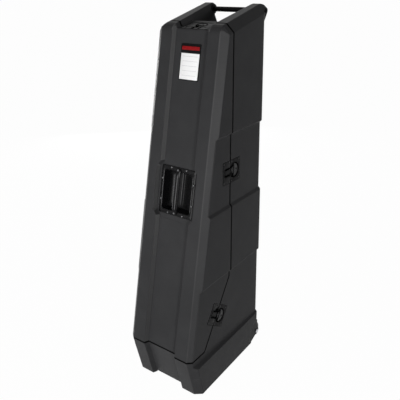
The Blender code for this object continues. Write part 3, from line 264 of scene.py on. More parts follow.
def painted_corner_highlight(finish):
    """How strongly the front corners, their inner edge and the ribs' flanks are lightened by a painted
    highlight, mostly high up.
    """
    across, height = abs(finish.axis("X")), finish.axis("Z")
    behind = finish.axis("Y") - ((height - FRONT_Z) * FRONT_LEAN + FRONT_Y)
    inward = across - (SIDE_HALF - CORNER_WIDTH - height * SIDE_TAPER)
    corner = inward.eased(-0.0006, 0.0010) * (1.0 - behind.eased(CORNER_DEPTH - 0.003, CORNER_DEPTH))
    edge = (1.0 - abs(inward).eased(0.0010, 0.0030)) * (behind < 0.003)
    away = abs(height - HANDLE_Z)
    inner = (away < BAY_HALF[0]) * (BAY_FLANK[0] - RIB_FLANK[0]) + RIB_FLANK[0]
    outer = (away < BAY_HALF[1]) * (BAY_FLANK[1] - RIB_FLANK[1]) + RIB_FLANK[1]
    flank = (across > inner) * (across < outer) * behind.eased(0.0004, 0.0016)
    flank = flank * (1.0 - behind.eased(PANEL_DEPTH - 0.003, PANEL_DEPTH - 0.001))
    # the painted highlight is strongest at the top and fades downward
    higher_up_brighter = height.eased(0.15, 0.95) * 0.6 + 0.4
    return (corner * 0.48 + edge * 0.50 + flank * 1.15) * higher_up_brighter * (height > FOOT_HIGHLIGHT_Z)


def moulded_shell():
    """Moulded polyethylene: a fine pebble grain, faint waviness, painted shade along the seams, painted
    highlights on the front corners and rib flanks, and scuffs low down.
    """
    finish = Finish("moulded_shell", (0.036, 0.036, 0.038), 0.34, IOR=1.10)
    mottle = finish.speckle(9.0, 3.0)
    fine = finish.speckle(240.0, 2.0)
    height = finish.axis("Z")
    streaks = finish.speckle(34.0, 4.0, finish.stretched(1.0, 1.0, 6.0))
    scuff = streaks.eased(0.60, 0.74) * (1.0 - height.eased(0.02, 0.20)) * 0.45
    base = finish.tint(mottle.eased(0.30, 0.70), (0.0330, 0.0330, 0.0345), (0.0385, 0.0385, 0.0400))
    base = finish.tint(fine * 0.22, base, (0.0480, 0.0480, 0.0490))
    base = finish.tint(scuff, base, (0.085, 0.085, 0.085))
    # painted highlight: the front corners, their inner edge and the rib flanks lightened towards pale grey
    base = finish.tint(painted_corner_highlight(finish) * (streaks * 0.3 + 0.70), base, (0.084, 0.084, 0.085))
    # painted shade: the shell darkened almost to black along the seam between the shells
    seam = painted_seam_shade(finish, 0.0026, 0.0050)
    finish.colour(finish.tint(seam * 0.96, base, (0.001, 0.001, 0.001)))
    finish.rough(0.27 + fine * 0.10 + scuff * 0.15 + seam * 0.50)
    finish.rounded(0.0050)
    finish.relief(finish.cells(620.0), 0.00030, 0.35)
    finish.relief(finish.speckle(16.0, 1.0), 0.0016, 0.30)
    return finish.material


def satin_plastic():
    """Glossier black plastic of the carry handle, housings and card holder."""
    finish = Finish("satin_plastic", (0.004, 0.004, 0.0045), 0.30, IOR=1.15)
    fine = finish.speckle(300.0, 2.0)
    haze = finish.speckle(40.0, 3.0)
    finish.colour(finish.tint(haze.eased(0.35, 0.70), (0.0030, 0.0030, 0.0034), (0.0060, 0.0060, 0.0064)))
    finish.rough(0.26 + fine * 0.12 + haze * 0.08)
    finish.rounded(0.0008)
    finish.relief(fine, 0.00012, 0.25)
    return finish.material


def handle_plastic():
    """The carry handle's black plastic, with pale painted highlights along its grip's edges and its rim."""
    finish = Finish("handle_plastic", (0.004, 0.004, 0.0045), 0.24, IOR=1.18)
    fine = finish.speckle(300.0, 2.0)
    haze = finish.speckle(60.0, 3.0, finish.stretched(1.0, 1.0, 0.25))
    across = abs(finish.axis("X"))
    edges = sum((1.0 - abs(across - x).eased(width * 0.35, width)) * share
                for x, width, share in PAINTED_HIGHLIGHT_EDGES)
    run = 1.0 - abs(finish.axis("Z") - HANDLE_Z).eased(0.056, 0.068)
    # painted highlight: pale lines along the grip's edges and the dish's rim, broken up by noise
    rub = edges * run * (haze.eased(0.20, 0.62) * 0.35 + 0.65)
    base = finish.tint(fine.eased(0.35, 0.70), (0.0030, 0.0030, 0.0034), (0.0055, 0.0055, 0.0060))
    finish.colour(finish.tint(rub, base, (0.135, 0.135, 0.138)))
    finish.rough(0.22 + fine * 0.10)
    finish.rounded(0.0008)
    finish.relief(fine, 0.00010, 0.20)
    return finish.material


def powder_coat():
    """Black powder coat on pressed steel, with a little orange peel and rubbed high spots."""
    finish = Finish("powder_coat", (0.006, 0.006, 0.0065), 0.28, IOR=1.12)
    peel = finish.speckle(420.0, 1.0)
    rub = finish.speckle(55.0, 4.0)
    finish.colour(finish.tint(rub.eased(0.62, 0.78), (0.0050, 0.0050, 0.0054), (0.0160, 0.0160, 0.0165)))
    finish.rough(0.26 + rub * 0.16)
    finish.rounded(0.0004)
    finish.relief(peel, 0.00010, 0.30)
    return finish.material


def handled_coat():
    """Powder coat that fingers have polished: the latches' wings and rotors."""
    finish = Finish("handled_coat", (0.020, 0.020, 0.021), 0.32, IOR=1.22)
    rub = finish.speckle(70.0, 4.0)
    finish.colour(finish.tint(rub.eased(0.35, 0.68), (0.0130, 0.0130, 0.0135), (0.0340, 0.0340, 0.0350)))
    finish.rough(0.28 + rub * 0.16)
    finish.rounded(0.0004)
    finish.relief(finish.speckle(420.0, 1.0), 0.00008, 0.25)
    return finish.material


def rivet_steel():
    """Blackened rivet heads, rubbed to a grey sheen on their crowns."""
    finish = Finish("rivet_steel", (0.055, 0.055, 0.057), 0.34, Metallic=0.6)
    rub = finish.speckle(260.0, 3.0)
    finish.colour(finish.tint(rub.eased(0.35, 0.65), (0.040, 0.040, 0.042), (0.110, 0.110, 0.114)))
    finish.rough(0.28 + rub * 0.16)
    return finish.material


def zinc_plate():
    finish = Finish("zinc_plate", (0.50, 0.50, 0.52), 0.30, Metallic=1.0)
    cloud = finish.speckle(90.0, 4.0)
    finish.colour(finish.tint(cloud.eased(0.35, 0.65), (0.42, 0.42, 0.44), (0.58, 0.58, 0.60)))
    finish.rough(0.24 + cloud * 0.18)
    finish.rounded(0.0004)
    return finish.material


def tyre_urethane():
    """Dark urethane, dulled by the floor across its tread."""
    finish = Finish("tyre_urethane", (0.030, 0.030, 0.032), 0.45)
    across = abs(abs(finish.axis("X")) - WHEEL_PLACE.x)
    tread = 1.0 - across.eased(0.0070, 0.0100)
    dust = finish.speckle(70.0, 4.0).eased(0.40, 0.70) * tread
    finish.colour(finish.tint(dust * 0.6, (0.026, 0.026, 0.028), (0.080, 0.078, 0.074)))
    finish.rough(0.38 + dust * 0.35)
    finish.relief(finish.speckle(380.0, 2.0), 0.00020, 0.40)
    return finish.material


def plush_pile():
    """Short black pile laid over foam: clumps of fibre and a nap that catches the light."""
    finish = Finish("plush_pile", (0.014, 0.014, 0.015), 0.95, Specular_IOR_Level=0.15, Sheen_Weight=0.55,
                    Sheen_Roughness=0.45)
    fibre = finish.speckle(900.0, 3.0)
    clump = finish.speckle(120.0, 3.0)
    nap = finish.speckle(11.0, 2.0)
    shade = finish.tint(clump.eased(0.30, 0.72), (0.010, 0.010, 0.011), (0.022, 0.022, 0.023))
    finish.colour(finish.tint(nap.eased(0.45, 0.70) * 0.5, shade, (0.030, 0.030, 0.031)))
    finish.rough(0.84 + fibre * 0.16)
    finish.relief(fibre, 0.0006, 0.55)
    finish.relief(clump, 0.0012, 0.45)
    return finish.material


def woven_webbing():
    """Flat nylon webbing: rows of picks along the strap with a rib across."""
    finish = Finish("woven_webbing", (0.012, 0.012, 0.013), 0.70, Sheen_Weight=0.25, Sheen_Roughness=0.35)
    run = (finish.axis("X") + finish.axis("Y")) * 1800.0
    rise = finish.axis("Z") * 2400.0
    weave = (run.wave() * rise.wave()) * 0.5 + 0.5
    finish.colour(finish.tint(weave, (0.009, 0.009, 0.010), (0.024, 0.024, 0.025)))
    finish.rough(0.62 + weave * 0.22)
    finish.relief(weave, 0.00035, 0.8)
    return finish.material


def sewing_thread():
    finish = Finish("sewing_thread", (0.030, 0.030, 0.031), 0.60, Sheen_Weight=0.3, Sheen_Roughness=0.4)
    twist = ((finish.axis("Z") + finish.axis("X")) * 9000.0).wave() * 0.5 + 0.5
    finish.colour(finish.tint(twist, (0.022, 0.022, 0.023), (0.045, 0.045, 0.046)))
    finish.rough(0.50 + twist * 0.20)
    finish.relief(twist, 0.00010, 0.6)
    return finish.material


def ruled_card():
    """White card with five grey rules to write on."""
    finish = Finish("ruled_card", (0.86, 0.86, 0.86), 0.50)
    height, width = finish.axis("Z"), abs(finish.axis("X"))
    step = (height - CARD_RULES[0]) / CARD_RULE_PITCH + 0.5
    line = (abs(step.part() - 0.5) < 0.5 * CARD_RULE_WIDTH / CARD_RULE_PITCH) * (width < CARD_RULE_HALF)
    line = line * (height > CARD_RULES[0] - 0.002) * (height < CARD_RULES[1] + 0.002)
    fibre = finish.speckle(260.0, 3.0)
    paper = finish.tint(fibre.eased(0.30, 0.70), (0.91, 0.91, 0.91), (0.94, 0.94, 0.938))
    finish.colour(finish.tint(line * 0.85, paper, (0.36, 0.36, 0.38)))
    finish.rough(0.42 + fibre * 0.16)
    finish.relief(fibre, 0.00006, 0.3)
    return finish.material


def printed_strip():
    """Plain red band on a black strip, behind a satin film."""
    finish = Finish("printed_strip", (0.24, 0.008, 0.010), 0.35, IOR=1.15)
    grain = finish.speckle(180.0, 3.0)
    red = finish.tint(grain.eased(0.35, 0.70), (0.22, 0.006, 0.008), (0.28, 0.010, 0.012))
    height, width = finish.axis("Z"), abs(finish.axis("X"))
    band = (height > STRIP_BAND[0]) * (height < STRIP_BAND[1]) * (width < STRIP_BAND_HALF)
    finish.colour(finish.tint(band, (0.002, 0.002, 0.002), red))
    finish.rough(0.28 + grain * 0.14)
    finish.relief(grain, 0.00005, 0.3)
    return finish.material


photographer()
SHELL = moulded_shell()
PLASTIC = satin_plastic()
HANDLE = handle_plastic()
COATED = powder_coat()
HANDLED = handled_coat()
RIVETED = rivet_steel()
ZINC = zinc_plate()
URETHANE = tyre_urethane()
PLUSH = plush_pile()
WEBBING = woven_webbing()
THREAD = sewing_thread()
CARD = ruled_card()
STRIP = printed_strip()
SLOT_FINISHES = {"moulded_polyethylene": SHELL, "black_plastic": PLASTIC, "black_steel": COATED,
                 "bright_steel": ZINC}
for node, slot in SLOTS.items():
    if slot in SLOT_FINISHES:
        for place in NODES[node].material_slots:
            place.material = SLOT_FINISHES[slot]


# Shapes

def inset(points, amount, closed=True):
    """A 2-D line moved to its left by amount, which is inwards where it runs anticlockwise."""
    line = []
    count = len(points)
    for i, point in enumerate(points):
        here = Vector(point)
        before = here - Vector(points[i - 1]) if closed or i else None
        after = Vector(points[(i + 1) % count]) - here if closed or i < count - 1 else None
        sides = [Vector((-run.y, run.x)).normalized() for run in (before, after) if run and run.length > 1e-9]
        middle = sum(sides, Vector((0.0, 0.0))).normalized()
        line.append(here + middle * (amount / max(middle.dot(sides[0]), 0.35)))
    return line


def filleted(points, radius, closed=True, steps=4):
    """A 2-D line with its corners rounded."""
    smooth = []
    count = len(points)
    for i, point in enumerate(points):
        here = Vector(point)
        if not closed and i in (0, count - 1):
            smooth.append(here)
            continue
        before, after = Vector(points[i - 1]) - here, Vector(points[(i + 1) % count]) - here
        half = before.angle(after) / 2
        reach = min(radius / math.tan(half), before.length * 0.49, after.length * 0.49)
        if reach < 1e-5:
            smooth.append(here)
            continue
        start, end = here + before.normalized() * reach, here + after.normalized() * reach
        for k in range(steps + 1):
            t = k / steps
            smooth.append(start * (1 - t) ** 2 + here * (2 * t * (1 - t)) + end * t ** 2)
    return smooth


def circle(radius, steps=40, start=0.0, end=360.0, middle=(0.0, 0.0)):
    whole = end - start == 360.0
    angles = [math.radians(start + (end - start) * i / steps) for i in range(steps if whole else steps + 1)]
    return [(middle[0] + radius * math.cos(a), middle[1] + radius * math.sin(a)) for a in angles]


def rectangle(low, high, radius, steps=5):
    corners = [(low[0], low[1]), (high[0], low[1]), (high[0], high[1]), (low[0], high[1])]
    return filleted(corners, radius, steps=steps)


def lofted(rings, closed=True, low_cap=True, high_cap=True, joined=False):
    """Skin over rings of points. Joined closes the last ring on the first."""
    bm = bmesh.new()
    loops = [[bm.verts.new(point) for point in ring] for ring in rings]
    count = len(loops[0])
    for low, high in zip(loops, loops[1:] + (loops[:1] if joined else [])):
        for i in range(count if closed else count - 1):
            j = (i + 1) % count
            bm.faces.new((low[i], low[j], high[j], high[i]))
    if low_cap and not joined:
        bm.faces.new(list(reversed(loops[0])))
    if high_cap and not joined:
        bm.faces.new(loops[-1])
    return bm


def turned(profile, steps=40):
    """Ring turned round Z from a closed profile of (radius, height)."""
    rings = []
    for i in range(steps):
        angle = 2 * math.pi * i / steps
        rings.append([(r * math.cos(angle), r * math.sin(angle), h) for r, h in profile])
    return lofted(rings, joined=True)


def plate(outline, low, high, edge=0.0004, windows=()):
    """Flat plate between two levels, with rounded rims on its outline and its windows."""
    bm = bmesh.new()
    levels = ((edge, low), (edge * 0.3, low + edge * 0.3), (0.0, low + edge),
              (0.0, high - edge), (edge * 0.3, high - edge * 0.3), (edge, high))
    rims = ([], [])
    for points, way in [(outline, 1)] + [(window, -1) for window in windows]:
        area = sum(points[i - 1][0] * p[1] - p[0] * points[i - 1][1] for i, p in enumerate(points))
        ring = list(points) if area > 0 else list(reversed(points))
        loops = [[bm.verts.new((*p, z)) for p in inset(ring, way * amount)] for amount, z in levels]
        count = len(ring)
        for first, second in zip(loops, loops[1:]):
            for i in range(count):
                j = (i + 1) % count
                bm.faces.new((first[i], first[j], second[j], second[i]))
        for rim, loop in zip(rims, (loops[0], loops[-1])):
            rim += [bm.edges.get((loop[i], loop[(i + 1) % count])) for i in range(count)]
    for rim in rims:
        bmesh.ops.triangle_fill(bm, use_beauty=True, use_dissolve=False, edges=rim)
    return bm


def tube(path, radius, closed=False, steps=8):
    """Round bead along a line of points, with Z as its fixed side."""
    path = [Vector(point) for point in path]
    count = len(path)
    rings = []
    for i, point in enumerate(path):
        after = path[(i + 1) % count] if closed or i < count - 1 else point
        before = path[i - 1] if closed or i else point
        along = (after - before).normalized()
        side = along.cross(Vector((0.0, 0.0, 1.0))).normalized()
        up = side.cross(along)
        rings.append([point + (side * math.cos(a) + up * math.sin(a)) * radius
                      for a in (2 * math.pi * k / steps for k in range(steps))])
    return lofted(rings, joined=closed)


def meshed(bm, name="blank"):
    mesh = bpy.data.meshes.new(name)
    bm.to_mesh(mesh)
    bm.free()
    return mesh


def worked(bm, kind, **settings):
    """The mesh after one modifier."""
    mesh = meshed(bm)
    blank = placed("blank", mesh)
    modifier = blank.modifiers.new("work", kind)
    for name, value in settings.items():
        setattr(modifier, name, value)
    after = bpy.data.meshes.new_from_object(blank.evaluated_get(bpy.context.evaluated_depsgraph_get()))
    fresh = bmesh.new()
    fresh.from_mesh(after)
    bpy.data.objects.remove(blank)
    bpy.data.meshes.remove(mesh)
    bpy.data.meshes.remove(after)
    return fresh


def walled(bm, thickness):
    """Sheet metal: an open surface that faces its hollow gets its thickness behind it."""
    bm.normal_update()
    return worked(bm, "SOLIDIFY", thickness=thickness, offset=-1.0, use_even_offset=True)


def merged(*parts):
    whole = bmesh.new()
    for part in parts:
        mesh = meshed(part)
        whole.from_mesh(mesh)
        bpy.data.meshes.remove(mesh)
    return whole


def moved(bm, x=0.0, y=0.0, z=0.0):
    bmesh.ops.translate(bm, verts=bm.verts, vec=Vector((x, y, z)))
    return bm


def frame_at(origin, along, outward):
    """Local frame with X along, Z outward and Y square to both."""
    along, outward = Vector(along).normalized(), Vector(outward).normalized()
    matrix = Matrix((along, outward.cross(along), outward)).transposed().to_4x4()
    matrix.translation = Vector(origin)
    return matrix


def smooth_piece(name, bm, crease):
    """The mesh with its points joined, its faces turned outward and its sharp edges marked."""
    bmesh.ops.remove_doubles(bm, verts=bm.verts, dist=1e-6)
    bm.normal_update()
    bmesh.ops.recalc_face_normals(bm, faces=bm.faces)
    mesh = meshed(bm, name)
    mesh.shade_smooth()
    mesh.set_sharp_from_angle(angle=math.radians(crease))
    return placed(name, mesh)


def hung(item, node):
    """Hang a piece on the body of the node it stands for, keeping its place, and hide that node."""
    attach(item, BODIES[node])
    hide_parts(node)
    return item


def made(name, bm, material, node, place=None, crease=35.0):
    """Finish a piece where it belongs."""
    if place:
        bm.transform(place)
    item = smooth_piece(name, bm, crease)
    item.data.materials.append(material)
    return hung(item, node)


# What repeats: rivets, spokes and stitches

def repeater():
    """Node tree that sets one pattern on every spot, turned as the spot's own attribute says."""
    tree = bpy.data.node_groups.new("repeater", "GeometryNodeTree")
    for label, kind, way in (
            ("Spots", "NodeSocketGeometry", "INPUT"), ("Pattern", "NodeSocketObject", "INPUT"),
            ("Size", "NodeSocketVector", "INPUT"), ("Finish", "NodeSocketMaterial", "INPUT"),
            ("Pieces", "NodeSocketGeometry", "OUTPUT")):
        tree.interface.new_socket(label, in_out=way, socket_type=kind)
    kinds = ("NodeGroupInput", "GeometryNodeObjectInfo", "GeometryNodeInputNamedAttribute",
             "FunctionNodeEulerToRotation", "GeometryNodeInstanceOnPoints", "GeometryNodeRealizeInstances",
             "GeometryNodeSetMaterial", "NodeGroupOutput")
    entry, pattern, turn, rotation, spread, real, paint, out = (tree.nodes.new(kind) for kind in kinds)
    turn.data_type = "FLOAT_VECTOR"
    turn.inputs["Name"].default_value = "turn"
    for start, end in (
            (entry.outputs["Pattern"], pattern.inputs["Object"]),
            (entry.outputs["Spots"], spread.inputs["Points"]),
            (pattern.outputs["Geometry"], spread.inputs["Instance"]), (turn.outputs[0], rotation.inputs[0]),
            (rotation.outputs[0], spread.inputs["Rotation"]), (entry.outputs["Size"], spread.inputs["Scale"]),
            (spread.outputs[0], real.inputs[0]), (real.outputs[0], paint.inputs["Geometry"]),
            (entry.outputs["Finish"], paint.inputs["Material"]), (paint.outputs[0], out.inputs[0])):
        tree.links.new(start, end)
    return tree


REPEATER = repeater()
REPEATER_INPUTS = {item.name: item.identifier for item in REPEATER.interface.items_tree
                   if item.in_out == "INPUT"}


def at_spots(place, spots, up):
    return [place @ Matrix.Translation((x, y, up)) for x, y in spots]


def repeated(name, shape, size, spots, material, node):
    """One piece of many like shapes. Each spot is a matrix, the place and turn of one of them."""
    mesh = bpy.data.meshes.new(name)
    mesh.from_pydata([spot.translation for spot in spots], [], [])
    turn = mesh.attributes.new("turn", "FLOAT_VECTOR", "POINT")
    for value, spot in zip(turn.data, spots):
        value.vector = spot.to_euler()
    item = placed(name, mesh)
    modifier = item.modifiers.new("repeat", "NODES")
    modifier.node_group = REPEATER
    for label, value in (("Pattern", shape), ("Size", size), ("Finish", material)):
        modifier[REPEATER_INPUTS[label]] = value
    after = bpy.data.meshes.new_from_object(item.evaluated_get(bpy.context.evaluated_depsgraph_get()))
    item.modifiers.clear()
    item.data = after
    return hung(item, node)


DOME_LINE = [(0.0, 1.0), (0.38, 0.93), (0.72, 0.66), (0.94, 0.28), (1.0, 0.0), (1.0, -0.4), (0.0, -0.4)]
STITCH_LINE = [(0.0, 0.5), (0.8, 0.36), (1.0, 0.0), (0.8, -0.36), (0.0, -0.5)]
DOME = smooth_piece("dome", turned(DOME_LINE, 14), 50.0)
SPOKE = smooth_piece("spoke", plate(rectangle((-0.5, -0.5), (0.5, 0.5), 0.12, 2), -0.5, 0.5, 0.12), 50.0)
STITCH = smooth_piece("stitch", turned(STITCH_LINE, 6), 50.0)


# Twist latches

UPRIGHT = Matrix(((0, 0, 1, 0), (1, 0, 0, 0), (0, 1, 0, 0), (0, 0, 0, 1)))


def pan_mouth(spec):
    """Open line round the pan's well, from the seam down one side and up the other."""
    radius, slot, well_y = spec["well_radius"], spec["slot"], spec["well_y"]
    reach = math.sqrt(max(radius ** 2 - (SEAM_EDGE + well_y) ** 2, 0.0))
    side = max(slot, reach)
    angle = math.degrees(math.atan2(math.sqrt(radius ** 2 - side ** 2), side))
    arc = circle(radius, 44, 180 - angle, 360 + angle, (0.0, well_y))
    return arc if reach >= slot else [(-slot, -SEAM_EDGE)] + arc + [(slot, -SEAM_EDGE)]


def keeper_mouth(spec):
    half, end = 0.0160, spec["well_end"]
    turn = end * (0.6 if spec["flare"] else 0.5)
    mouth = half + spec["flare"]
    line = [(mouth, SEAM_EDGE), (half, turn), (half, end), (-half, end), (-half, SEAM_EDGE)]
    if spec["flare"]:
        line.insert(1, (mouth, 0.0015))
    return filleted(line, 0.0040, closed=False)


def trough(mouth):
    """Pressed well below a plate: walls, a rounded foot and a floor, in one sheet."""
    levels = ((-0.0001, FLANGE_LOW + 0.0004), (0.0, WELL_FLOOR + 0.0030), (0.0003, WELL_FLOOR + 0.0016),
              (0.0010, WELL_FLOOR + 0.0005), (0.0022, WELL_FLOOR))
    rings = [[(*p, z) for p in inset(mouth, amount, closed=False)] for amount, z in levels]
    return walled(lofted(rings, closed=False, low_cap=False), SHEET)


def pressed_dish(corners, mouth):
    """Flange between its outer corners and the well's mouth, the well, and a rolled bead along each edge."""
    corners = filleted(corners, 0.0045, closed=False)
    flange = plate(corners + list(reversed(mouth)), FLANGE_LOW, FLANGE_HIGH, 0.0005)
    beads = [tube([(*p, FLANGE_HIGH) for p in inset(line, amount, closed=False)], radius)
             for line, amount, radius in ((mouth, -0.0016, 0.0006), (corners, 0.0030, 0.0005))]
    return merged(flange, trough(mouth), *beads)


def latch_pan(tag, spec, place):
    half, main = spec["half"], spec["main"]
    corners = [(-half, -SEAM_EDGE), (-half, -main), (half, -main), (half, -SEAM_EDGE)]
    dish = pressed_dish(corners, pan_mouth(spec))
    ring = turned([(0.0046, -0.0006), (0.0085, -0.0006), (0.0082, 0.0002), (0.0049, 0.0002)], 32)
    made(tag + "_latch_pan", merged(dish, moved(ring, 0.0, spec["well_y"], WELL_FLOOR)), COATED,
         tag + "_latch_dish", place)


def latch_catch(tag, spec, place):
    """The keeper: its dish, the lip that the hook pulls on, and the eyed lugs of the top one."""
    half, keeper, (near, far) = spec["half"], spec["keeper"], spec["lip"]
    corners = [(half, SEAM_EDGE), (half, keeper), (-half, keeper), (-half, SEAM_EDGE)]
    lip = plate([(-0.0120, near), (0.0120, near), (0.0120, far), (-0.0120, far)], WELL_FLOOR - 0.0005,
                spec["lip_top"], 0.0007)
    made(tag + "_latch_catch", merged(pressed_dish(corners, keeper_mouth(spec)), lip), COATED,
         tag + "_latch_keeper", place)
    if spec["ears"]:
        reach, eye = spec["ears"]
        pads = [plate(rectangle((-reach, -reach), (reach, reach), 0.0012), FLANGE_HIGH - 0.0002,
                      FLANGE_HIGH + 0.0014, 0.0004, [circle(eye, 24)]) for _ in spec["keeper_rivets"]]
        pads = [moved(pad, x, y) for pad, (x, y) in zip(pads, spec["keeper_rivets"])]
        made(tag + "_keeper_ears", merged(*pads), HANDLED, tag + "_latch_keeper", place)


def latch_rivets(tag, kind, spots, place):
    """A thin washer under each rivet's head."""
    low, high = FLANGE_HIGH - 0.0003, FLANGE_HIGH + 0.0003
    line = filleted([(0.0, low), (0.0046, low), (0.0046, high), (0.0, high)], 0.0001)
    washers = [moved(turned(line, 18), x, y) for x, y in spots]
    node = f"{tag}_latch_{kind}"
    made(f"{tag}_{kind}_washers", merged(*washers), COATED, node, place)
    heads = at_spots(place, spots, FLANGE_HIGH + 0.0001)
    repeated(f"{tag}_{kind}_rivets", DOME, (0.0033, 0.0033, 0.0012), heads, HANDLED, node)


def latch_rotor(tag, spec, place):
    """Turning hub: a shaft, a disc with a sunk middle, and the two lugs that carry the wing."""
    radius, well_y = spec["hub"], spec["well_y"]
    foot, sunk = WELL_FLOOR + 0.0003, DISC_HIGH - 0.0005
    line = [(0.0, foot), (0.0040, foot), (0.0040, DISC_LOW), (radius, DISC_LOW), (radius, DISC_HIGH),
            (0.0062, DISC_HIGH), (0.0056, sunk), (0.0036, sunk), (0.0030, DISC_HIGH), (0.0, DISC_HIGH)]
    disc = turned(filleted(line, 0.00025, steps=2), 44)
    lugs = []
    for start, end in ((0.0016 - radius, 0.0042 - radius), (radius - 0.0042, radius - 0.0016)):
        side = filleted([(-0.0022, sunk), (0.0022, sunk), (0.0022, -0.0002), (-0.0022, -0.0002)], 0.0012)
        lug = plate(side, start, end, 0.0002)
        lug.transform(UPRIGHT)
        lugs.append(moved(lug, 0.0, well_y))
    made(tag + "_latch_rotor", merged(moved(disc, 0.0, well_y), *lugs), HANDLED, tag + "_latch_hub", place)


def latch_wing(tag, spec, place):
    """Folding finger plate: a notched half disc with rolled edges, a finger hole and its pin."""
    radius, well_y = spec["flap"], spec["well_y"]
    lug_in, lug_out = spec["hub"] - 0.0042, spec["hub"] - 0.0016
    front, back = well_y + 0.0007, well_y - 0.0034
    near, far = lug_in - 0.0004, lug_out + 0.0004
    notch = [(far, front), (far, back), (near, back), (near, front)]
    outline = [(radius, front)] + notch + [(-x, y) for x, y in reversed(notch)] + [(-radius, front)]
    outline += circle(radius, 40, 180, 360, (0.0, well_y))[1:-1]
    finger = (0.0, well_y - radius * 0.62)
    leaf = plate(outline, FLAP_LOW, FLAP_HIGH, 0.0003, [circle(0.0035, 20, middle=finger)])

    def bead(line, thickness, drop=0.0, closed=False):
        return tube([(x, y, FLAP_HIGH - drop) for x, y in line], thickness, closed)

    curl = bead(circle(radius - 0.0011, 36, 184, 356, (0.0, well_y)), 0.00075)
    lip = bead(circle(0.0044, 20, middle=finger), 0.0005, closed=True)
    swage = bead(circle(radius * 0.42, 20, 205, 335, (0.0, well_y - radius * 0.02)), 0.0005, 0.0001)
    reach = lug_out + 0.0010
    pin = turned([(0.0, -reach), (0.00065, -reach), (0.00065, reach), (0.0, reach)], 12)
    pin.transform(UPRIGHT)
    made(tag + "_latch_wing", merged(leaf, curl, lip, swage, moved(pin, 0.0, well_y, FOLD)), HANDLED,
         tag + "_latch_flap", place)


for tag, spec in LATCHES.items():
    fold = JOINTS[tag + "_latch_flap_fold"]
    place = frame_at(fold["pos_m"], -Vector(fold["axis"]), JOINTS[tag + "_latch_turn"]["axis"])
    place = place @ Matrix.Translation((0.0, -spec["well_y"], -FOLD))
    latch_pan(tag, spec, place)
    latch_catch(tag, spec, place)
    latch_rivets(tag, "dish", spec["main_rivets"], place)
    latch_rivets(tag, "keeper", spec["keeper_rivets"], place)
    latch_rotor(tag, spec, place)
    latch_wing(tag, spec, place)


# Carry handle

def on_front(z, depth=0.0):
    """Place on the leaning front, or behind it by a depth, with Z outward."""
    return frame_at((0.0, FRONT_Y + FRONT_LEAN * (z - FRONT_Z) + depth, z), (1, 0, 0), (0, -1, FRONT_LEAN))


def balanced(half_x, half_up, radius, steps=5):
    return rectangle((-half_x, -half_up), (half_x, half_up), radius, steps)


panel = on_front(HANDLE_Z)


def handle_dish():
    bed, top, deep = PANEL_FLOOR, PANEL_FLOOR + 0.0023, DISH_DEPTH
    window = balanced(WINDOW_HALF_X, WINDOW_HALF_UP, 0.012, 8)
    flange = plate(balanced(DISH_HALF_X, DISH_HALF_UP, 0.0045, 8), top - 0.0020, top, 0.0006, [window])
    levels = ((WINDOW_HALF_X, WINDOW_HALF_UP, 0.012, top - 0.0018), (0.0630, 0.0724, 0.013, bed - 0.004),
              (0.0590, 0.0690, 0.016, bed - deep * 0.60), (0.0530, 0.0660, 0.019, bed - deep * 0.88),
              (0.0470, 0.0620, 0.021, bed - deep * 0.98), (0.0420, 0.0570, 0.021, bed - deep))
    rings = [[(*p, z) for p in balanced(x, up, r, 8)] for x, up, r, z in levels]
    tub = walled(lofted(rings, low_cap=False), 0.0020)
    lip = tube([(*p, top) for p in balanced(0.0652, 0.0744, 0.013, 8)], 0.0011, closed=True)
    line = [(0.0, top - 0.0004), (0.0052, top - 0.0004), (0.0046, top + 0.0006), (0.0, top + 0.0006)]
    line = filleted(line, 0.0002)
    seats = [moved(turned(line, 20), x, up) for x, up in DISH_RIVETS]
    made("carry_dish", merged(flange, tub, lip, *seats), HANDLE, "carry_handle_dish", panel)
    heads = at_spots(panel, DISH_RIVETS, top + 0.0004)
    repeated("carry_dish_rivets", DOME, (0.0036, 0.0036, 0.0014), heads, RIVETED, "carry_handle_dish")


def read_off(table, up):
    """Straight-line reading from a table of (place, value)."""
    for (start, a), (end, b) in zip(table, table[1:]):
        if up <= end:
            return a + (b - a) * (up - start) / (end - start)
    return table[-1][1]


def handle_grip():
    """Upright bar with chamfered edges, thinning to a foot with one rivet at each end."""
    base, slices = PANEL_FLOOR + 0.0026, 56
    rise = ((0.0, 0.0115), (0.0560, 0.0115), (0.0640, 0.0105), (0.0720, 0.0085), (0.0800, 0.0056),
            (GRIP_HALF_UP, 0.0040))
    relief = ((0.0, 0.0010), (0.0600, 0.0010), (0.0700, 0.0), (GRIP_HALF_UP, 0.0))
    rings = []
    for k in range(slices + 1):
        up = -GRIP_HALF_UP + 2 * GRIP_HALF_UP * k / slices
        high, low = read_off(rise, abs(up)), read_off(relief, abs(up))
        half = GRIP_HALF_X - max(0.0, (abs(up) - 0.0780) / 0.0067) ** 2 * 0.0045
        chamfer = min(0.0055, (high - low) * 0.48)
        line = [(-half, low), (half, low), (half, high - chamfer), (half - chamfer, high),
                (-half + chamfer, high), (-half, high - chamfer)]
        rings.append([(x, up, base + z) for x, z in filleted(line, 0.0009, steps=3)])
    made("carry_grip", lofted(rings), HANDLE, "carry_handle_grip", panel)
    heads = at_spots(panel, ((0.0, -0.0790), (0.0, 0.0790)), base + 0.0056)
    repeated("carry_grip_rivets", DOME, (0.0044, 0.0044, 0.0020), heads, RIVETED, "carry_handle_grip")


handle_dish()
handle_grip()


# Card holder

def card_span(span):
    """Heights above the floor as heights on the leaning label."""
    return [(z - CARD_MIDDLE_Z) * CARD_STRETCH for z in span]


def card_window(span, margin=0.0, radius=0.0010):
    (low, high), half = card_span(span), CARD_HALF - margin
    return rectangle((-half, low + margin), (half, high - margin), radius)


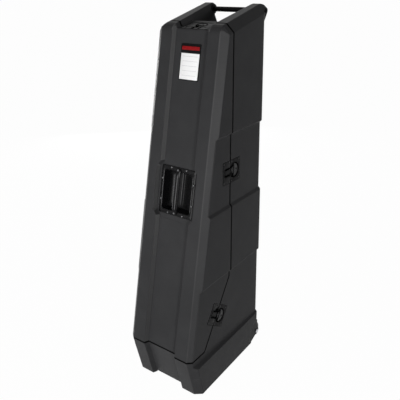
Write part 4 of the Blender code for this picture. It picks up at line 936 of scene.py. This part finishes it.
def card_holder():
    label = on_front(CARD_MIDDLE_Z, PANEL_DEPTH)
    half_up = 0.0595 * CARD_STRETCH
    windows = [card_window(CARD_SPAN), card_window(STRIP_SPAN)]
    bezel = plate(balanced(0.0410, half_up, 0.0022), 0.0009, 0.0024, 0.0004, windows)
    backing = plate(balanced(0.0406, half_up - 0.0004, 0.0020), 0.0003, 0.0013, 0.0002)
    made("card_bezel", merged(bezel, backing), PLASTIC, "card_holder", label)
    for name, span, material, node, top in (("ruled_card", CARD_SPAN, CARD, "card", 0.0020),
                                            ("plain_strip", STRIP_SPAN, STRIP, "card_strip", 0.0022)):
        made(name, plate(card_window(span, 0.0002, 0.0009), 0.0013, top, 0.0001), material, node, label)


card_holder()


# Tow bar

def hex_head(radius, low, high, socket):
    """Screw head with a hexagon socket, turned about Z."""
    ring = plate(circle(radius, 36), low, high, (high - low) * 0.32, [circle(socket, 6)])
    base = turned([(0.0, low), (radius * 0.9, low), (radius * 0.9, low + (high - low) * 0.35),
                   (0.0, low + (high - low) * 0.35)], 24)
    return merged(ring, base)


def sideways(middle, side):
    """Place with Z straight out to one side."""
    return frame_at(middle, (0, 1, 0), (side, 0, 0))


grip_line = [(0.0044, -0.0790), (0.0090, -0.0790), (0.0090, 0.0790), (0.0044, 0.0790)]
made("tow_grip", turned(filleted(grip_line, 0.0004, steps=2), 48), COATED, "tow_bar", sideways(BAR_PLACE, 1))
for side, word in SIDES:
    end = sideways(BAR_PLACE, side)
    ring = [(0.0096, 0.0762), (0.0120, 0.0762), (0.0150, 0.0766), (0.0172, 0.0782), (0.0175, 0.0808),
            (0.0096, 0.0808)]
    made("tow_collar_" + word, turned(filleted(ring, 0.0003, steps=2), 48), COATED, "tow_bar_collar_" + word,
         end)
    shank = turned([(0.0, 0.0500), (0.0040, 0.0500), (0.0040, 0.1394), (0.0, 0.1394)], 24)
    made("tow_bolt_" + word, merged(hex_head(0.0080, 0.1390, 0.1428, 0.0032), shank), COATED,
         "tow_bar_bolt_" + word, end)


# Wheels

def wheel(side, word):
    centre = Vector((side * WHEEL_PLACE.x, WHEEL_PLACE.y, WHEEL_PLACE.z))
    spin = sideways(centre, side)
    tread = [(0.0272, -0.0108), (0.0310, -0.0118), (0.0336, -0.0120), (0.0356, -0.0112), (0.0369, -0.0092),
             (0.0374, -0.0060), (0.0375, -0.0010), (0.0372, -0.0003)]
    tread += [(r, -x) for r, x in reversed(tread)]
    made("tread_" + word, turned(tread, 72), URETHANE, "tyre_" + word, spin)
    hub = [(0.0118, -0.0120), (0.0150, -0.0120), (0.0158, -0.0045), (0.0232, -0.0045), (0.0238, -0.0108),
           (0.0268, -0.0108), (0.0268, 0.0108), (0.0238, 0.0108), (0.0232, 0.0045), (0.0158, 0.0045),
           (0.0150, 0.0120), (0.0118, 0.0120), (0.0118, 0.0042), (0.0085, 0.0042), (0.0085, -0.0042),
           (0.0118, -0.0042)]
    made("hub_" + word, turned(filleted(hub, 0.0004, steps=2), 48), PLASTIC, "wheel_hub_" + word, spin)
    spokes = [spin @ Matrix.Rotation(math.radians(60 * k), 4, "Z") @ Matrix.Translation((0.0194, 0.0, 0.0))
              for k in range(6)]
    repeated("spokes_" + word, SPOKE, (0.0084, 0.0030, 0.0190), spokes, PLASTIC, "wheel_hub_" + word)
    for way, end_word in ((-1, "inner"), (1, "outer")):
        race = [(0.0045, 0.0046), (0.0114, 0.0046), (0.0114, 0.0116), (0.0098, 0.0116), (0.0096, 0.0110),
                (0.0066, 0.0110), (0.0064, 0.0116), (0.0045, 0.0116)]
        made(f"race_{word}_{end_word}", turned(filleted(race, 0.0002, steps=2), 40), ZINC,
             f"bearing_{word}_{end_word}", sideways(centre, side * way))


def axle(side, word):
    pin = sideways((0.0, WHEEL_PLACE.y, WHEEL_PLACE.z), side)
    rod = turned([(0.0, 0.1130), (0.0036, 0.1130), (0.0040, 0.1134), (0.0040, 0.1566), (0.0, 0.1566)], 28)
    made("axle_pin_" + word, merged(rod, hex_head(0.0085, 0.1563, 0.1602, 0.0030)), ZINC, "axle_" + word, pin)
    nut = plate(circle(0.0080, 6), 0.1126, 0.1161, 0.0004, [circle(0.0046, 20)])
    made("axle_lock_nut_" + word, nut, ZINC, "axle_nut_" + word, pin)


for side, word in SIDES:
    wheel(side, word)
    axle(side, word)


# Lining, pads and straps

def merged_copy(node):
    bm = bmesh.new()
    bm.from_mesh(NODES[node].data)
    bmesh.ops.remove_doubles(bm, verts=bm.verts, dist=1e-5)
    bmesh.ops.recalc_face_normals(bm, faces=bm.faces)
    return bm


def voxelled(bm, size, passes):
    bm = worked(bm, "REMESH", mode="VOXEL", voxel_size=size, adaptivity=0.0)
    return worked(bm, "SMOOTH", factor=0.5, iterations=passes)


for node, name in (("body_liner", "case_lining"), ("lid_liner", "lid_lining")):
    lining = made(name, voxelled(merged_copy(node), 0.0060, 4), PLUSH, node, crease=180.0)


COVER_PRESSURE, COVER_STEPS = 4.0, 20


def plumped(pads):
    """Foam pads in fabric covers: each starts a little small, swells under pressure, and is then held to what
    it may move."""
    items = []
    for name, node, voxel, shrink, swell in pads:
        bm = merged_copy(node)
        bm.normal_update()
        for vert in bm.verts:
            vert.co -= vert.normal * shrink
        item = made(name, voxelled(bm, voxel, 2), PLUSH, node, crease=180.0)
        items.append((item, [v.co.copy() for v in item.data.vertices], swell))
    for item, _, _ in items:
        cloth = item.modifiers.new("cover", "CLOTH")
        cloth.settings.use_pressure = True
        cloth.settings.uniform_pressure_force = COVER_PRESSURE
        cloth.settings.effector_weights.gravity = 0.0
        cloth.point_cache.frame_start, cloth.point_cache.frame_end = 1, COVER_STEPS
    for step in range(1, COVER_STEPS + 1):
        bpy.context.scene.frame_set(step)
    deps = bpy.context.evaluated_depsgraph_get()
    for item, rest, swell in items:
        places = [v.co.copy() for v in item.evaluated_get(deps).data.vertices]
        item.modifiers.clear()
        for vert, start, end in zip(item.data.vertices, rest, places):
            step = end - start
            vert.co = start + step * min(1.0, swell / max(step.length, 1e-9))
    bpy.context.scene.frame_set(1)
    for item, _, _ in items:
        bm = bmesh.new()
        bm.from_mesh(item.data)
        bm = worked(bm, "SUBSURF", levels=1, render_levels=1)
        bm.to_mesh(item.data)
        bm.free()
        item.data.shade_smooth()


plumped([("floor_pad", "base_pad", 0.0070, 0.0040, 0.0050),
         ("middle_wall", "divider", 0.0075, 0.0030, 0.0045)]
        + [("neck_rest_" + word, "neck_cradle_" + word, 0.0045, 0.0030, 0.0040) for _, word in SIDES])

BAND_INNER, BAND_OUTER, BAND_HALF, BAND_Z = 0.0162, 0.1134, 0.0150, 0.9900
BAND_BACK, BAND_FRONT, BAND_SAG = 0.1245, 0.0838, 0.0004


def band_route():
    """Points about 3 mm apart along the strap, round the front of the cradle."""
    corners = [(BAND_INNER, BAND_BACK), (BAND_INNER, BAND_FRONT), (BAND_OUTER, BAND_FRONT),
               (BAND_OUTER, BAND_BACK)]
    line = filleted(corners, 0.0045, closed=False, steps=6)
    route = []
    for start, end in zip(line, line[1:]):
        count = max(1, int((end - start).length / 0.003))
        route += [start.lerp(end, k / count) for k in range(count)]
    return route + [line[-1]]


def neck_band(side, word):
    route = band_route()
    last = len(route) - 1
    section = balanced(0.0008, BAND_HALF, 0.0006, 2)
    rings = []
    for k, point in enumerate(route):
        run = (route[min(k + 1, last)] - route[max(k - 1, 0)]).normalized()
        out = Vector((-run.y, run.x))
        sag = BAND_SAG * math.sin(math.pi * k / last * 3) ** 2
        spots = [(point + out * (a + sag), b) for a, b in section]
        rings.append([Vector((side * spot.x, spot.y, BAND_Z + b)) for spot, b in spots])
    made("neck_band_" + word, lofted(rings), WEBBING, "neck_strap_" + word, crease=60.0)

    stitches = []
    for k in range(2, last - 1, 2):
        run = (route[min(k + 2, last)] - route[k - 1]).normalized()
        spot = route[k] - Vector((-run.y, run.x)) * 0.0009
        stitches += [frame_at((side * spot.x, spot.y, BAND_Z + up), (0, 0, 1), (side * run.x, run.y, 0.0))
                     for up in (-0.0120, 0.0120)]
    repeated("band_stitches_" + word, STITCH, (0.00035, 0.00035, 0.0042), stitches, THREAD,
             "neck_strap_" + word)


for side, word in SIDES:
    neck_band(side, word)

for item in (DOME, SPOKE, STITCH):
    bpy.data.objects.remove(item)


# Studio

FLOOR_HALF, FLOOR_SHADE, FLOOR_GLOW = 60.0, (0.86, 0.86, 0.86, 1.0), 0.98
WHITE, FILL_LIGHT = (1.0, 1.0, 1.0, 1.0), 0.03


def seen_directly(tree):
    """1 for rays from the camera, a mirror or a clear material, and 0 for the light that falls on things."""
    rays = tree.nodes.new("ShaderNodeLightPath")
    seen = rays.outputs["Is Camera Ray"]
    for kind in ("Is Glossy Ray", "Is Transmission Ray"):
        either = tree.nodes.new("ShaderNodeMath")
        either.operation = "MAXIMUM"
        tree.links.new(seen, either.inputs[0])
        tree.links.new(rays.outputs[kind], either.inputs[1])
        seen = either.outputs[0]
    return seen


def blended(tree, share, first, second, surface):
    mix = tree.nodes.new("ShaderNodeMixShader")
    for start, end in zip((share, first.outputs[0], second.outputs[0]), mix.inputs):
        tree.links.new(start, end)
    tree.links.new(mix.outputs[0], surface)


def studio_floor():
    bm = bmesh.new()
    bmesh.ops.create_grid(bm, x_segments=1, y_segments=1, size=FLOOR_HALF)
    floor = placed("studio_floor", meshed(bm, "studio_floor"))
    paint = bpy.data.materials.new("pale_floor")
    paint.use_nodes = True
    tree = paint.node_tree
    diffuse = tree.nodes["Principled BSDF"]
    diffuse.inputs["Base Color"].default_value = FLOOR_SHADE
    diffuse.inputs["Roughness"].default_value = 0.9
    glow = tree.nodes.new("ShaderNodeEmission")
    glow.inputs["Strength"].default_value = 1.0
    seen = seen_directly(tree)
    share = tree.nodes.new("ShaderNodeMath")
    share.operation = "MULTIPLY"
    share.inputs[1].default_value = FLOOR_GLOW
    tree.links.new(seen, share.inputs[0])
    blended(tree, share.outputs[0], diffuse, glow, tree.nodes["Material Output"].inputs["Surface"])
    floor.data.materials.append(paint)


def studio_air():
    world = bpy.data.worlds.new("studio_air")
    bpy.context.scene.world = world
    world.use_nodes = True
    tree = world.node_tree
    tree.nodes.clear()
    out = tree.nodes.new("ShaderNodeOutputWorld")
    white, soft = (tree.nodes.new("ShaderNodeBackground") for _ in range(2))
    for shade, strength in ((white, 1.0), (soft, FILL_LIGHT)):
        shade.inputs["Color"].default_value = WHITE
        shade.inputs["Strength"].default_value = strength
    blended(tree, seen_directly(tree), soft, white, out.inputs["Surface"])


studio_floor()
studio_air()
softbox("side_softbox", (2.1, -1.54, 1.20), (0.0, 0.0, 1.0), 0.4, 0.8, 28.0)
softbox("front_softbox", (-0.7, -3.0, 0.80), (0.0, 0.0, 0.6), 1.3, 1.1, 58.0)
softbox("back_softbox", (-2.4, 2.6, 0.5), (0.0, 0.0, 0.7), 2.0, 0.9, 40.0)
bpy.context.scene.view_settings.view_transform = "Standard"
